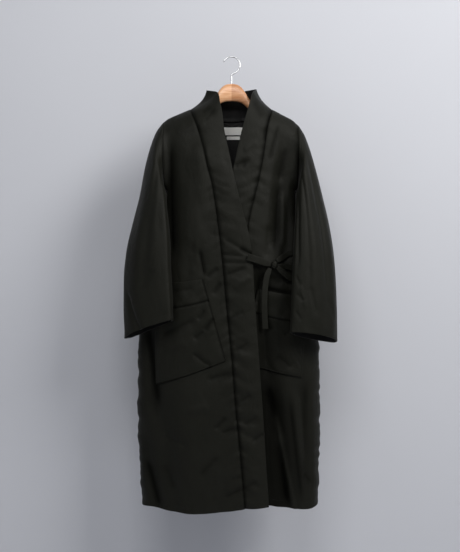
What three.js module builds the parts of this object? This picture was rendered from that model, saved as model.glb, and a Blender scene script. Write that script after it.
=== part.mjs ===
// A long padded wrap coat hanging on a wooden hanger with a wire hook.
// Millimetres, +Z up. The origin is the inner top of the hook, where the hanger bears on its rail.
// The coat faces -Y. Left and right are those of someone who looks at its front.
import * as THREE from 'three';

// Driving dimensions
const WALL = 5; // padded cloth: shell, thin filling and lining
const SEAM_GAP = 0.3; // between two pieces that are sewn together
const CENTRE_X = -8; // middle of the coat
const SECTION_POWER = 2.3; // 2 is an ellipse, more is flatter with rounder sides
const SHOULDER_ROUND = 70; // height over which the shoulder rounds from its ridge to the front
const UNDERARM_Z = -410;
const HEM_Z = -1360; // level of the hem's mean line
const ARMHOLE_HALF = 52; // half the depth of the armhole, front to back
const ARMHOLE_REACH = 9; // how close to the side the armhole's form stays, more is closer
const BAND_PUFF = 4; // crown of the band between its seam and its edge
const NORMAL_STEP = 2; // over which the slope of the body's form is taken

// Points of a front panel and of the band across and along
const FRONT_COLUMNS = 12;
const HALF_BACK_COLUMNS = 10;
const SHOULDER_COLUMNS = 5;
const BAND_COLUMNS = 5;
const SKIRT_ROWS = 24;
const ARMHOLE_ROWS = 10;
const NECK_ROWS = HALF_BACK_COLUMNS - SHOULDER_COLUMNS;
const TOP_ROW = SKIRT_ROWS + ARMHOLE_ROWS;
const SPREAD_TURN = 0.5; // share of the columns, from the side, that grow wider one by one

// Top line of the coat seen from the front: along the shoulders, and as a smooth arch under the collar
const RIDGE = [
  { x: -215, z: -203 }, { x: -198, z: -190 }, { x: -162, z: -174 }, { x: -131, z: -161 },
  { x: -66, z: -128 }, { x: -8, z: -114 }, { x: 60, z: -128 }, { x: 122, z: -161 },
  { x: 158, z: -180 }, { x: 183, z: -193 }, { x: 202, z: -210 },
];
const SHOULDER = { left: { x: -215, z: -203 }, right: { x: 202, z: -210 } };
const UNDERARM_X = { left: -207, right: 198 };
const NECK_POINT = { left: { x: -131, z: -161 }, right: { x: 122, z: -161 } };

// Side seams from the hem to the underarm
const SIDES = [
  { z: -1361, left: -278, right: 263 }, { z: -1208, left: -286, right: 266 },
  { z: -1164, left: -289, right: 267 }, { z: -1040, left: -290, right: 268 },
  { z: -884, left: -289, right: 265 }, { z: -800, left: -282, right: 258 },
  { z: -700, left: -260, right: 242 }, { z: -590, left: -235, right: 223 },
  { z: -500, left: -222, right: 212 }, { z: -455, left: -213, right: 204 },
  { z: -425, left: -208, right: 199 }, { z: -410, left: -207, right: 198 },
];

// Half depths of the body at its middle
const DEPTHS = [
  { z: -1380, front: 84, back: 76 }, { z: -1100, front: 86, back: 76 },
  { z: -850, front: 85, back: 74 }, { z: -600, front: 82, back: 70 },
  { z: -410, front: 78, back: 66 }, { z: -300, front: 72, back: 60 },
  { z: -210, front: 62, back: 53 }, { z: -160, front: 56, back: 49 },
];

// Hem line of the fronts and of the back
const HEM = [
  { x: -278, front: -1370, back: -1368 }, { x: -246, front: -1368, back: -1362 },
  { x: -198, front: -1372, back: -1358 }, { x: -127, front: -1376, back: -1356 },
  { x: -43, front: -1371, back: -1354 }, { x: 28, front: -1364, back: -1354 },
  { x: 64, front: -1356, back: -1354 }, { x: 108, front: -1357, back: -1354 },
  { x: 135, front: -1363, back: -1354 }, { x: 195, front: -1370, back: -1356 },
  { x: 235, front: -1374, back: -1362 }, { x: 263, front: -1368, back: -1366 },
];

// How far the over front stands off the under one, and where that fades out at the side and the top
const OVERLAP = { lift: 12, sideX: -215, fullX: -150, fullZ: -320, topZ: -240 };

// Where the band is sewn to the front, and its free edge, from the hem to the collar's top
const OVER_SEAM = [
  { z: -1360, x: 37 }, { z: -1189, x: 22 }, { z: -1070, x: 10 }, { z: -922, x: -2 },
  { z: -773, x: -17 }, { z: -625, x: -31 }, { z: -521, x: -43 }, { z: -402, x: -61 },
  { z: -343, x: -76 }, { z: -283, x: -89 }, { z: -209, x: -112 }, { z: -161, x: -131 },
];
const OVER_EDGE = [
  { z: -1360, x: 108 }, { z: -1039, x: 87 }, { z: -743, x: 66 }, { z: -631, x: 60 },
  { z: -566, x: 52 }, { z: -447, x: 22 }, { z: -358, x: 1 }, { z: -299, x: -11 },
  { z: -231, x: -25 }, { z: -180, x: -31 }, { z: -150, x: -38 }, { z: -118, x: -52 },
  { z: -103, x: -80 },
];
const UNDER_SEAM = [
  { z: -1360, x: -50 }, { z: -1000, x: -8 }, { z: -743, x: 12 }, { z: -631, x: 25 },
  { z: -565, x: 40 }, { z: -491, x: 52 }, { z: -431, x: 67 }, { z: -342, x: 87 },
  { z: -223, x: 106 }, { z: -161, x: 122 },
];
const UNDER_EDGE = [
  { z: -1360, x: -121 }, { z: -1039, x: -100 }, { z: -743, x: -80 }, { z: -631, x: -66 },
  { z: -566, x: -48 }, { z: -450, x: -20 }, { z: -357, x: 1 }, { z: -230, x: 29 },
  { z: -180, x: 43 }, { z: -148, x: 53 }, { z: -115, x: 64 }, { z: -96, x: 74 },
];

// The band's edge round the front of the neck: its height for each height of the seam, and its depth
const NECK_FRONT = {
  left: [
    { seamZ: -324, z: -324 }, { seamZ: -285, z: -283 }, { seamZ: -247, z: -236 },
    { seamZ: -212, z: -187 }, { seamZ: -185, z: -150 }, { seamZ: -167, z: -118 },
    { seamZ: -161, z: -103 },
  ],
  right: [
    { seamZ: -324, z: -324 }, { seamZ: -285, z: -283 }, { seamZ: -247, z: -234 },
    { seamZ: -212, z: -184 }, { seamZ: -185, z: -146 }, { seamZ: -167, z: -112 },
    { seamZ: -161, z: -96 },
  ],
};
const EDGE_DEPTH = [
  { z: -283, y: -71 }, { z: -236, y: -68 }, { z: -187, y: -63 }, { z: -150, y: -56 },
  { z: -118, y: -40 }, { z: -96, y: 8 },
];

// The neck seam across the back, and the band's edge from the shoulder to the centre back
const NECKLINE = [
  { x: -131, z: -161 }, { x: -100, z: -174 }, { x: -60, z: -184 }, { x: -8, z: -189 },
  { x: 48, z: -184 }, { x: 90, z: -174 }, { x: 122, z: -161 },
];
const NECK_BACK = {
  left: [
    { step: 0, x: -80, y: 8, z: -103 }, { step: 2, x: -66, y: 33, z: -102 },
    { step: 4, x: -30, y: 46, z: -105 }, { step: 5, x: -8, y: 48, z: -107 },
  ],
  right: [
    { step: 0, x: 74, y: 8, z: -96 }, { step: 2, x: 56, y: 33, z: -98 },
    { step: 4, x: 15, y: 46, z: -104 }, { step: 5, x: -8, y: 48, z: -107 },
  ],
};
// How far the middle of the band is drawn in and down where it turns up from the shoulder
const COLLAR_PINCH = { startZ: -215, left: 10, right: 7, down: 3 };

// Sleeves: O is the outer edge and I the inner edge seen from the front, half is half the thickness
const SLEEVES = {
  left: [
    { ox: -215, oy: 0, oz: -203, ix: -208, iy: 0, iz: -410, half: 52 },
    { ox: -234, oy: -1, oz: -230, ix: -213, iy: -22, iz: -416, half: 53 },
    { ox: -250, oy: -5, oz: -272, ix: -207, iy: -56, iz: -430, half: 53 },
    { ox: -268, oy: -13, oz: -345, ix: -203, iy: -78, iz: -460, half: 51 },
    { ox: -282, oy: -27, oz: -430, ix: -198, iy: -94, iz: -508, half: 47 },
    { ox: -301, oy: -44, oz: -515, ix: -190, iy: -107, iz: -572, half: 43 },
    { ox: -318, oy: -58, oz: -600, ix: -181, iy: -117, iz: -640, half: 39 },
    { ox: -325, oy: -64, oz: -685, ix: -176, iy: -123, iz: -705, half: 37 },
    { ox: -325, oy: -70, oz: -765, ix: -173, iy: -127, iz: -758, half: 36 },
    { ox: -321, oy: -74, oz: -850, ix: -173, iy: -129, iz: -801, half: 35 },
  ],
  right: [
    { ox: 202, oy: 0, oz: -210, ix: 199, iy: 0, iz: -410, half: 52 },
    { ox: 219, oy: -1, oz: -236, ix: 205, iy: -22, iz: -416, half: 53 },
    { ox: 234, oy: -5, oz: -276, ix: 198, iy: -56, iz: -430, half: 53 },
    { ox: 253, oy: -13, oz: -345, ix: 194, iy: -78, iz: -460, half: 51 },
    { ox: 273, oy: -27, oz: -430, ix: 189, iy: -94, iz: -508, half: 47 },
    { ox: 291, oy: -44, oz: -515, ix: 182, iy: -107, iz: -572, half: 43 },
    { ox: 303, oy: -58, oz: -600, ix: 176, iy: -117, iz: -640, half: 39 },
    { ox: 309, oy: -64, oz: -685, ix: 172, iy: -123, iz: -705, half: 37 },
    { ox: 312, oy: -70, oz: -772, ix: 169, iy: -127, iz: -768, half: 36 },
    { ox: 313, oy: -74, oz: -860, ix: 167, iy: -129, iz: -830, half: 35 },
  ],
};
const SLEEVE_RINGS = 18;
// The rear of the right cuff hangs lower than its front
const CUFF_DROP = { left: 6, right: 15 };
const CUFF_DROP_START = 0.75;

// Largest folds: a soft trough (deep below 0) or ridge along a line from x1,z1 to x2,z2
const FOLDS = {
  over: [
    { x1: -182, z1: -215, x2: -166, z2: -620, wide: 22, deep: -14 },
    { x1: -112, z1: -240, x2: -100, z2: -640, wide: 38, deep: 6 },
    { x1: -264, z1: -830, x2: -236, z2: -1120, wide: 24, deep: -14 },
    { x1: -268, z1: -1130, x2: -222, z2: -1420, wide: 24, deep: -11 },
    { x1: -120, z1: -940, x2: -130, z2: -1460, wide: 80, deep: 9 },
    { x1: -200, z1: -1080, x2: -158, z2: -1440, wide: 26, deep: -7 },
  ],
  under: [
    { x1: 160, z1: -205, x2: 122, z2: -610, wide: 20, deep: -12 },
    { x1: 180, z1: -230, x2: 156, z2: -680, wide: 20, deep: -14 },
    { x1: 122, z1: -970, x2: 175, z2: -1440, wide: 24, deep: -13 },
    { x1: 158, z1: -965, x2: 212, z2: -1440, wide: 24, deep: 9 },
    { x1: 212, z1: -940, x2: 232, z2: -1400, wide: 22, deep: -12 },
  ],
  back: [
    { x1: -130, z1: -220, x2: -95, z2: -740, wide: 34, deep: -12 },
    { x1: 112, z1: -220, x2: 80, z2: -720, wide: 34, deep: -11 },
    { x1: -60, z1: -260, x2: -70, z2: -900, wide: 50, deep: 7 },
    { x1: -190, z1: -700, x2: -170, z2: -1420, wide: 32, deep: -13 },
    { x1: -70, z1: -760, x2: -50, z2: -1440, wide: 34, deep: -11 },
    { x1: 60, z1: -690, x2: 75, z2: -1440, wide: 40, deep: -13 },
    { x1: 180, z1: -740, x2: 168, z2: -1420, wide: 30, deep: -12 },
    { x1: -120, z1: -880, x2: -112, z2: -1440, wide: 36, deep: 9 },
    { x1: 122, z1: -840, x2: 120, z2: -1440, wide: 34, deep: 9 },
  ],
};
const FOLD_FADE = 0.22; // share of a fold's length over which each end fades out

// Patch pockets: corners on the front, in the order top outer, top inner, bottom inner, bottom outer
const POCKETS = {
  left: [{ x: -232, z: -692 }, { x: -88, z: -681 }, { x: -20, z: -922 }, { x: -228, z: -998 }],
  right: [{ x: 222, z: -738 }, { x: 72, z: -711 }, { x: 22, z: -930 }, { x: 206, z: -976 }],
};
const POCKET_CELLS = 9;
const POCKET_SEAT = 0.9; // from the front to the pocket at its sewn edge
const POCKET_BELLY = 2.5; // how much further out its middle stands
const POCKET_WALL = 4;

// Tie: a narrow flat strap, its middle line from end to end
const TIE_WIDE = 17;
const TIE_THICK = 3;
const TIES = {
  tie_front: {
    across: [0, 0, 1],
    path: [[59.8, -89.5, -625], [74, -88, -627], [92, -83, -630], [113.2, -80.8, -635]],
  },
  tie_side: {
    across: [-0.35, 0, 1],
    path: [[131.7, -78, -628], [150, -66, -616], [165, -59, -606], [182, -56, -601],
      [196, -50, -598], [208, -39.7, -596]],
  },
  tie_loop: {
    across: [0.35, 0, 0.9],
    path: [[132.9, -81, -646], [149, -77, -660], [164, -73, -673], [178, -68, -680],
      [187, -62, -671], [184, -61.5, -654], [170, -65.5, -646], [153, -70, -644],
      [135.3, -76.3, -642.6]],
  },
  tie_end: {
    across: [1, 0, 0],
    path: [[111, -82.5, -649.5], [104, -85, -666], [97, -88.5, -703], [94.5, -91, -745],
      [95, -91.5, -790], [97, -91.5, -829]],
  },
};
const TIE_STEPS = 5; // between two points of a tie's path
const KNOT = { x: 124, y: -80.8, z: -638, halfX: 10.5, halfY: 8, halfZ: 12.5 };
const KNOT_RINGS = 8;
const KNOT_SIDES = 12;

// Blank woven labels on the inside of the back, and the tape loop above them
const LABELS = {
  label_neck: { left: -28, right: 32, top: -206, bottom: -230 },
  label_size: { left: -18, right: 23, top: -234, bottom: -244.5 },
};
const LABEL_THICK = 0.8;
const LABEL_SEAT = 0.5;
const LABEL_COLUMNS = 6;
const NECK_LOOP = { left: -26, right: 23, top: -193, sag: 9, wide: 5, thick: 1.6, points: 7 };

// Hanger: top and bottom lines of the wood and half its thickness, from the middle outwards
const HANGER_X = -3;
const HANGER_SEAT = 0.95; // from the wood to the inside of the shoulders
const HANGER = [
  { out: 0, top: -81, bottom: -135, half: 10 }, { out: 16, top: -83.5, bottom: -136, half: 10.5 },
  { out: 30, top: -92, bottom: -140, half: 11 }, { out: 42, top: -108, bottom: -149, half: 12 },
  { out: 56, top: -131, bottom: -163, half: 13 }, { out: 80, top: -151, bottom: -183, half: 14 },
  { out: 110, top: -164, bottom: -200, half: 14.5 },
];
const WING_START = 134; // from here to its tip the wood follows the shoulder
const WING = { deep: 38, half: 14, tipDeep: 26, tipHalf: 8, tipDrop: 2.5 };
const WING_STEPS = 8;
const WING_TIP = { left: -202, right: 187 };
const WOOD_SIDES = 14;
const HOOK_WIRE = 2;
const HOOK_RADIUS = 26;
const HOOK_TIP_ANGLE = 158; // degrees from +X, counterclockwise
const HOOK_END_ANGLE = -72;
const HOOK_STEPS = 22;
const HOOK_STEM = [-55, -62, -81.4]; // heights down the stem, to the top of the wood

const CLOTH = new THREE.MeshStandardMaterial({ color: 0x1c1d1a, roughness: 0.72, metalness: 0 });
const LABEL = new THREE.MeshStandardMaterial({ color: 0xe6e6e2, roughness: 0.6, metalness: 0 });
const WOOD = new THREE.MeshStandardMaterial({ color: 0xcf9768, roughness: 0.5, metalness: 0 });
const CHROME = new THREE.MeshStandardMaterial({ color: 0xd5d7da, roughness: 0.15, metalness: 1 });

const { lerp, clamp, smoothstep } = THREE.MathUtils;
const vec = (x, y, z) => new THREE.Vector3(x, y, z);
const count = (n) => Array.from({ length: n }, (_, i) => i);
const handOf = (x) => (x < CENTRE_X ? 'left' : 'right');

// Value of a column of a table at a place between its rows, on a smooth curve that never overshoots
function between(rows, by, want, at) {
  const sorted = rows[0][by] < rows.at(-1)[by] ? rows : [...rows].reverse();
  const last = sorted.length - 1;
  const slope = (k) => (sorted[k + 1][want] - sorted[k][want]) / (sorted[k + 1][by] - sorted[k][by]);
  const turn = (k) => {
    if (k === 0) return slope(0);
    if (k === last) return slope(last - 1);
    const product = slope(k - 1) * slope(k);
    return product <= 0 ? 0 : (2 * product) / (slope(k - 1) + slope(k));
  };
  const place = clamp(at, sorted[0][by], sorted[last][by]);
  let k = 0;
  while (k < last - 1 && place > sorted[k + 1][by]) k += 1;
  const step = sorted[k + 1][by] - sorted[k][by];
  const t = (place - sorted[k][by]) / step;
  const [a, b] = [sorted[k][want], sorted[k + 1][want]];
  return a * (1 + 2 * t) * (1 - t) ** 2 + b * t * t * (3 - 2 * t)
    + turn(k) * step * t * (1 - t) ** 2 - turn(k + 1) * step * t * t * (1 - t);
}

// The body's form
const ridgeZ = (x) => between(RIDGE, 'x', 'z', x);

function sideX(z, hand) {
  if (z <= UNDERARM_Z) return between(SIDES, 'z', hand, z);
  const { x, z: top } = SHOULDER[hand];
  return lerp(UNDERARM_X[hand], x, Math.min(1, (z - UNDERARM_Z) / (top - UNDERARM_Z)));
}

function armholeDepth(z, hand) {
  const middle = (UNDERARM_Z + SHOULDER[hand].z) / 2;
  const share = (z - middle) / (SHOULDER[hand].z - middle);
  return Math.abs(share) < 1 ? ARMHOLE_HALF * Math.sqrt(1 - share * share) : 0;
}

function foldDepth(folds, x, z) {
  let sum = 0;
  for (const { x1, z1, x2, z2, wide, deep } of folds) {
    const length = Math.hypot(x2 - x1, z2 - z1);
    const [dx, dz] = [(x2 - x1) / length, (z2 - z1) / length];
    const along = ((x - x1) * dx + (z - z1) * dz) / length;
    const off = (x - x1) * dz - (z - z1) * dx;
    const fade = smoothstep(along, 0, FOLD_FADE) * (1 - smoothstep(along, 1 - FOLD_FADE, 1));
    sum += deep * fade * Math.exp(-((off / wide) ** 2));
  }
  return sum;
}

function overLift(x, z) {
  const { lift, sideX: start, fullX, fullZ, topZ } = OVERLAP;
  return lift * smoothstep(x, start, fullX) * (1 - smoothstep(z, fullZ, topZ));
}

// Distance of the body's outer face from the plane of the side and shoulder seams
function depthAt(x, z, layer) {
  const hand = handOf(x);
  const reach = Math.min(1, Math.abs((x - CENTRE_X) / (sideX(z, hand) - CENTRE_X)));
  const bulge = (1 - reach ** SECTION_POWER) ** (1 / SECTION_POWER);
  const drop = clamp((ridgeZ(x) - z) / SHOULDER_ROUND, 0, 1);
  const rounding = Math.sqrt(1 - (1 - drop) ** 2);
  const middle = between(DEPTHS, 'z', layer === 'back' ? 'back' : 'front', z) * rounding;
  const edge = armholeDepth(z, hand) * reach ** ARMHOLE_REACH;
  const lift = layer === 'over' ? overLift(x, z) : 0;
  return edge + bulge * (middle - edge) + bulge * rounding * (foldDepth(FOLDS[layer], x, z) + lift);
}

const onBody = (x, z, layer) => vec(x, (layer === 'back' ? 1 : -1) * depthAt(x, z, layer), z);

// A point of the body's outer face moved out along its normal, or in where out is below 0
function offBody(x, z, layer, out) {
  const face = layer === 'back' ? 1 : -1;
  const h = NORMAL_STEP;
  const slopeX = (depthAt(x + h, z, layer) - depthAt(x - h, z, layer)) / (2 * h);
  const slopeZ = (depthAt(x, z + h, layer) - depthAt(x, z - h, layer)) / (2 * h);
  return onBody(x, z, layer).addScaledVector(vec(-slopeX, face, -slopeZ).normalize(), out);
}

// Columns close together at the side, where the section turns, and even from the middle on
function spread(s) {
  const whole = SPREAD_TURN * (2 - SPREAD_TURN);
  return (s < SPREAD_TURN ? s * s : 2 * SPREAD_TURN * s - SPREAD_TURN ** 2) / whole;
}

// Share of the armhole's height at a row above the underarm
const armholeShare = (row) => (1 - Math.cos((Math.PI * (row - SKIRT_ROWS)) / ARMHOLE_ROWS)) / 2;

// Solids
function solid(name, material, points, faces) {
  const geometry = new THREE.BufferGeometry();
  let volume = 0;
  for (const [a, b, c] of faces) {
    volume += points[a].dot(vec(0, 0, 0).crossVectors(points[b], points[c]));
  }
  const outward = volume < 0 ? faces.map(([a, b, c]) => [a, c, b]) : faces;
  geometry.setAttribute('position', new THREE.Float32BufferAttribute(points.flatMap((p) => p.toArray()), 3));
  geometry.setIndex(outward.flat());
  geometry.computeVertexNormals();
  const mesh = new THREE.Mesh(geometry, material);
  mesh.name = name;
  return mesh;
}

// Closed solid between an outer and an inner grid of points; a wrapped grid is a tube along its rows
function slab(name, material, outer, inner, wrapped = false) {
  const rows = outer.length;
  const columns = outer[0].length;
  const points = [...outer.flat(), ...inner.flat()];
  const at = (layer, i, j) => layer * rows * columns + i * columns + (j % columns);
  const faces = [];
  const quad = (a, b, c, d) => faces.push([a, b, c], [a, c, d]);
  const last = wrapped ? columns : columns - 1;
  for (let i = 0; i < rows - 1; i += 1) {
    for (let j = 0; j < last; j += 1) {
      quad(at(0, i, j), at(0, i + 1, j), at(0, i + 1, j + 1), at(0, i, j + 1));
      quad(at(1, i, j), at(1, i, j + 1), at(1, i + 1, j + 1), at(1, i + 1, j));
    }
    if (!wrapped) {
      quad(at(0, i, 0), at(1, i, 0), at(1, i + 1, 0), at(0, i + 1, 0));
      quad(at(0, i, last), at(0, i + 1, last), at(1, i + 1, last), at(1, i, last));
    }
  }
  for (let j = 0; j < last; j += 1) {
    quad(at(0, 0, j), at(0, 0, j + 1), at(1, 0, j + 1), at(1, 0, j));
    quad(at(0, rows - 1, j), at(1, rows - 1, j), at(1, rows - 1, j + 1), at(0, rows - 1, j + 1));
  }
  return solid(name, material, points, faces);
}

// Vectors from each point of a grid to the inner face, along the normal turned away from outside
function inwardOffsets(grid, outside, wrapped = false) {
  const rows = grid.length;
  const columns = grid[0].length;
  return grid.map((line, i) => line.map((_, j) => {
    const up = vec(0, 0, 0).subVectors(grid[Math.min(i + 1, rows - 1)][j], grid[Math.max(i - 1, 0)][j]);
    const [next, past] = wrapped
      ? [(j + 1) % columns, (j + columns - 1) % columns]
      : [Math.min(j + 1, columns - 1), Math.max(j - 1, 0)];
    const over = vec(0, 0, 0).subVectors(line[next], line[past]);
    return vec(0, 0, 0).crossVectors(up, over).normalize().multiplyScalar(outside * WALL);
  }));
}

const moved = (grid, offsets) => grid.map((line, i) => line.map((p, j) => p.clone().add(offsets[i][j])));

// Fronts: columns from the side seam and armhole to the band's seam, rows from the hem to the shoulder
function frontGrid(hand, layer, seam) {
  const point = (row, column) => {
    const g = spread(column / FRONT_COLUMNS);
    if (row <= SKIRT_ROWS) {
      const share = row / SKIRT_ROWS;
      const level = lerp(HEM_Z, UNDERARM_Z, share);
      const x = lerp(sideX(level, hand), between(seam, 'z', 'x', level), g);
      return onBody(x, lerp(between(HEM, 'x', 'front', x), UNDERARM_Z, share), layer);
    }
    const share = armholeShare(row);
    const atSide = sideX(lerp(UNDERARM_Z, SHOULDER[hand].z, share), hand);
    const atBand = between(seam, 'z', 'x', lerp(UNDERARM_Z, NECK_POINT[hand].z, share));
    const top = ridgeZ(lerp(SHOULDER[hand].x, NECK_POINT[hand].x, g));
    return onBody(lerp(atSide, atBand, g), lerp(UNDERARM_Z, top, share), layer);
  };
  return count(TOP_ROW + 1).map((row) => count(FRONT_COLUMNS + 1).map((column) => point(row, column)));
}

// The rims on the plane of the side and shoulder seams stay half a seam gap off it
function seatRims(grid, offsets, face, sides, onRidge) {
  const last = grid[0].length - 1;
  grid.forEach((line, row) => line.forEach((p, column) => {
    const hand = handOf(p.x);
    const atSide = sides.includes(column) && row <= SKIRT_ROWS;
    const atRidge = row === TOP_ROW && onRidge(column, last);
    if (!atSide && !atRidge) return;
    p.y = (face * SEAM_GAP) / 2;
    const inward = hand === 'left' ? WALL : -WALL;
    offsets[row][column].copy(atRidge ? vec(0, 0, -WALL) : vec(inward, 0, 0));
  }));
}

function front(name, hand, layer, seam) {
  const grid = frontGrid(hand, layer, seam);
  const offsets = inwardOffsets(grid, hand === 'left' ? 1 : -1);
  seatRims(grid, offsets, -1, [0], () => true);
  return { mesh: slab(name, CLOTH, grid, moved(grid, offsets)), grid, offsets };
}

// Back: columns from one side to the other, with the band's rows as its columns across the neck
function backGrid() {
  const topX = (hand, k) => {
    const [end, neck] = [SHOULDER[hand].x, NECK_POINT[hand].x];
    return k <= SHOULDER_COLUMNS
      ? lerp(end, neck, k / SHOULDER_COLUMNS)
      : lerp(neck, CENTRE_X, (k - SHOULDER_COLUMNS) / NECK_ROWS);
  };
  const point = (row, column) => {
    const hand = column < HALF_BACK_COLUMNS ? 'left' : 'right';
    const k = Math.min(column, 2 * HALF_BACK_COLUMNS - column);
    const low = spread(k / HALF_BACK_COLUMNS);
    if (row <= SKIRT_ROWS) {
      const share = row / SKIRT_ROWS;
      const x = lerp(sideX(lerp(HEM_Z, UNDERARM_Z, share), hand), CENTRE_X, low);
      return onBody(x, lerp(between(HEM, 'x', 'back', x), UNDERARM_Z, share), 'back');
    }
    const share = armholeShare(row);
    const goal = topX(hand, k);
    const high = (goal - SHOULDER[hand].x) / (CENTRE_X - SHOULDER[hand].x);
    const atSide = sideX(lerp(UNDERARM_Z, SHOULDER[hand].z, share), hand);
    const top = k <= SHOULDER_COLUMNS ? ridgeZ(goal) : between(NECKLINE, 'x', 'z', goal);
    return onBody(lerp(atSide, CENTRE_X, lerp(low, high, share)), lerp(UNDERARM_Z, top, share), 'back');
  };
  const columns = 2 * HALF_BACK_COLUMNS + 1;
  return count(TOP_ROW + 1).map((row) => count(columns).map((column) => point(row, column)));
}

function back() {
  const grid = backGrid();
  const offsets = inwardOffsets(grid, 1).map((line) => line.map((v) => v.negate()));
  const onRidge = (column, last) => Math.min(column, last - column) <= SHOULDER_COLUMNS;
  seatRims(grid, offsets, 1, [0, 2 * HALF_BACK_COLUMNS], onRidge);
  return { mesh: slab('back', CLOTH, grid, moved(grid, offsets)), grid, offsets };
}

// One half of the band: up the front edge, round the side of the neck and to the centre back
function band(name, hand, layer, edge, sewnTo, backPanel) {
  const inward = hand === 'left' ? 1 : -1;
  const rows = [];
  for (let row = 0; row <= TOP_ROW; row += 1) {
    const seam = sewnTo.grid[row][FRONT_COLUMNS].clone();
    const standing = seam.z > NECK_FRONT[hand][1].seamZ;
    const share = row / SKIRT_ROWS;
    const level = row <= SKIRT_ROWS ? lerp(HEM_Z, UNDERARM_Z, share) : seam.z;
    const edgeZ = between(NECK_FRONT[hand], 'seamZ', 'z', Math.max(level, NECK_FRONT[hand][0].seamZ));
    const z = level > NECK_FRONT[hand][0].seamZ ? edgeZ : level;
    const x = between(edge, 'z', 'x', z);
    const flatZ = row <= SKIRT_ROWS ? lerp(between(HEM, 'x', 'front', x), UNDERARM_Z, share) : z;
    const free = standing ? vec(x, between(EDGE_DEPTH, 'z', 'y', z), z) : onBody(x, flatZ, layer);
    const middle = seam.clone().lerp(free, 0.5);
    if (!standing) middle.y = onBody(middle.x, middle.z, layer).y;
    middle.y -= BAND_PUFF * clamp((NECK_POINT[hand].z - seam.z) / SHOULDER_ROUND, 0, 1);
    const pinch = smoothstep(seam.z, COLLAR_PINCH.startZ, NECK_POINT[hand].z);
    middle.x += inward * COLLAR_PINCH[hand] * pinch;
    middle.z -= COLLAR_PINCH.down * pinch;
    rows.push({ seam, middle, free, offset: sewnTo.offsets[row][FRONT_COLUMNS] });
  }
  for (let step = 1; step <= NECK_ROWS; step += 1) {
    const column = hand === 'left' ? SHOULDER_COLUMNS + step : 2 * HALF_BACK_COLUMNS - SHOULDER_COLUMNS - step;
    const seam = backPanel.grid[TOP_ROW][column].clone();
    const free = vec(...['x', 'y', 'z'].map((axis) => between(NECK_BACK[hand], 'step', axis, step)));
    const pinch = 1 - smoothstep(step, 0, NECK_ROWS);
    const middle = seam.clone().lerp(free, 0.5).add(vec(
      inward * COLLAR_PINCH[hand] * pinch, -BAND_PUFF / 2, -COLLAR_PINCH.down * pinch));
    rows.push({ seam, middle, free, offset: backPanel.offsets[TOP_ROW][column] });
  }
  const grid = rows.map(({ seam, middle, free }) => count(BAND_COLUMNS + 1).map((k) => {
    const s = k / BAND_COLUMNS;
    const p = seam.clone().multiplyScalar((1 - s) * (1 - 2 * s));
    p.addScaledVector(middle, 4 * s * (1 - s)).addScaledVector(free, s * (2 * s - 1));
    if (k === 0) p.addScaledVector(free.clone().sub(seam).normalize(), SEAM_GAP);
    return p;
  }));
  const offsets = inwardOffsets(grid, hand === 'left' ? 1 : -1);
  rows.forEach(({ offset }, row) => offsets[row][0].copy(offset));
  grid.at(-1).forEach((p, k) => {
    p.x = CENTRE_X - (inward * SEAM_GAP) / 2;
    offsets.at(-1)[k].x = 0;
  });
  return slab(name, CLOTH, grid, moved(grid, offsets));
}

// Sleeve: rings that turn from the upright armhole to the level cuff
function sleeve(name, hand) {
  const table = SLEEVES[hand].map((row, step) => ({ ...row, step }));
  const sides = 2 * ARMHOLE_ROWS;
  const outward = hand === 'left' ? -1 : 1;
  const grid = count(SLEEVE_RINGS + 1).map((ring) => {
    const down = ring / SLEEVE_RINGS;
    const get = (key) => between(table, 'step', key, down * (table.length - 1));
    const drop = CUFF_DROP[hand] * smoothstep(down, CUFF_DROP_START, 1);
    return count(sides).map((k) => {
      const angle = (2 * Math.PI * k) / sides;
      const share = (1 - Math.cos(angle)) / 2;
      const forward = Math.sin(angle);
      const p = vec(
        lerp(get('ox'), get('ix'), share),
        lerp(get('oy'), get('iy'), share) - get('half') * forward,
        lerp(get('oz'), get('iz'), share) + drop * forward);
      if (ring === 0) p.x += outward * SEAM_GAP;
      return p;
    });
  });
  const offsets = inwardOffsets(grid, hand === 'left' ? 1 : -1, true);
  const slant = (SHOULDER[hand].x - UNDERARM_X[hand]) / (SHOULDER[hand].z - UNDERARM_Z);
  offsets[0].forEach((v) => {
    v.x = 0;
    v.setLength(WALL);
    v.x = slant * v.z;
  });
  return slab(name, CLOTH, grid, moved(grid, offsets), true);
}

// Pocket laid on a front: sewn down at its rim, slightly proud in its middle
function pocket(name, corners, layer) {
  const [topOuter, topInner, bottomInner, bottomOuter] = corners;
  const face = (out) => count(POCKET_CELLS + 1).map((i) => count(POCKET_CELLS + 1).map((j) => {
    const [s, t] = [i / POCKET_CELLS, j / POCKET_CELLS];
    const along = (key) => lerp(
      lerp(topOuter[key], topInner[key], s), lerp(bottomOuter[key], bottomInner[key], s), t);
    const belly = POCKET_BELLY * Math.sin(Math.PI * s) * Math.sin((Math.PI * (t + 1)) / 2);
    return offBody(along('x'), along('z'), layer, POCKET_SEAT + belly + out);
  }));
  return slab(name, CLOTH, face(POCKET_WALL), face(0));
}

// Solid through rings of points, with a flat fan on each end
function loft(name, material, rings) {
  const sides = rings[0].length;
  const points = rings.flat();
  const faces = [];
  rings.slice(1).forEach((_, i) => count(sides).forEach((k) => {
    const [a, b] = [i * sides + k, i * sides + ((k + 1) % sides)];
    faces.push([a, b, b + sides], [a, b + sides, a + sides]);
  }));
  const end = (rings.length - 1) * sides;
  for (let k = 1; k < sides - 1; k += 1) faces.push([0, k + 1, k], [end, end + k, end + k + 1]);
  return solid(name, material, points, faces);
}

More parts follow.
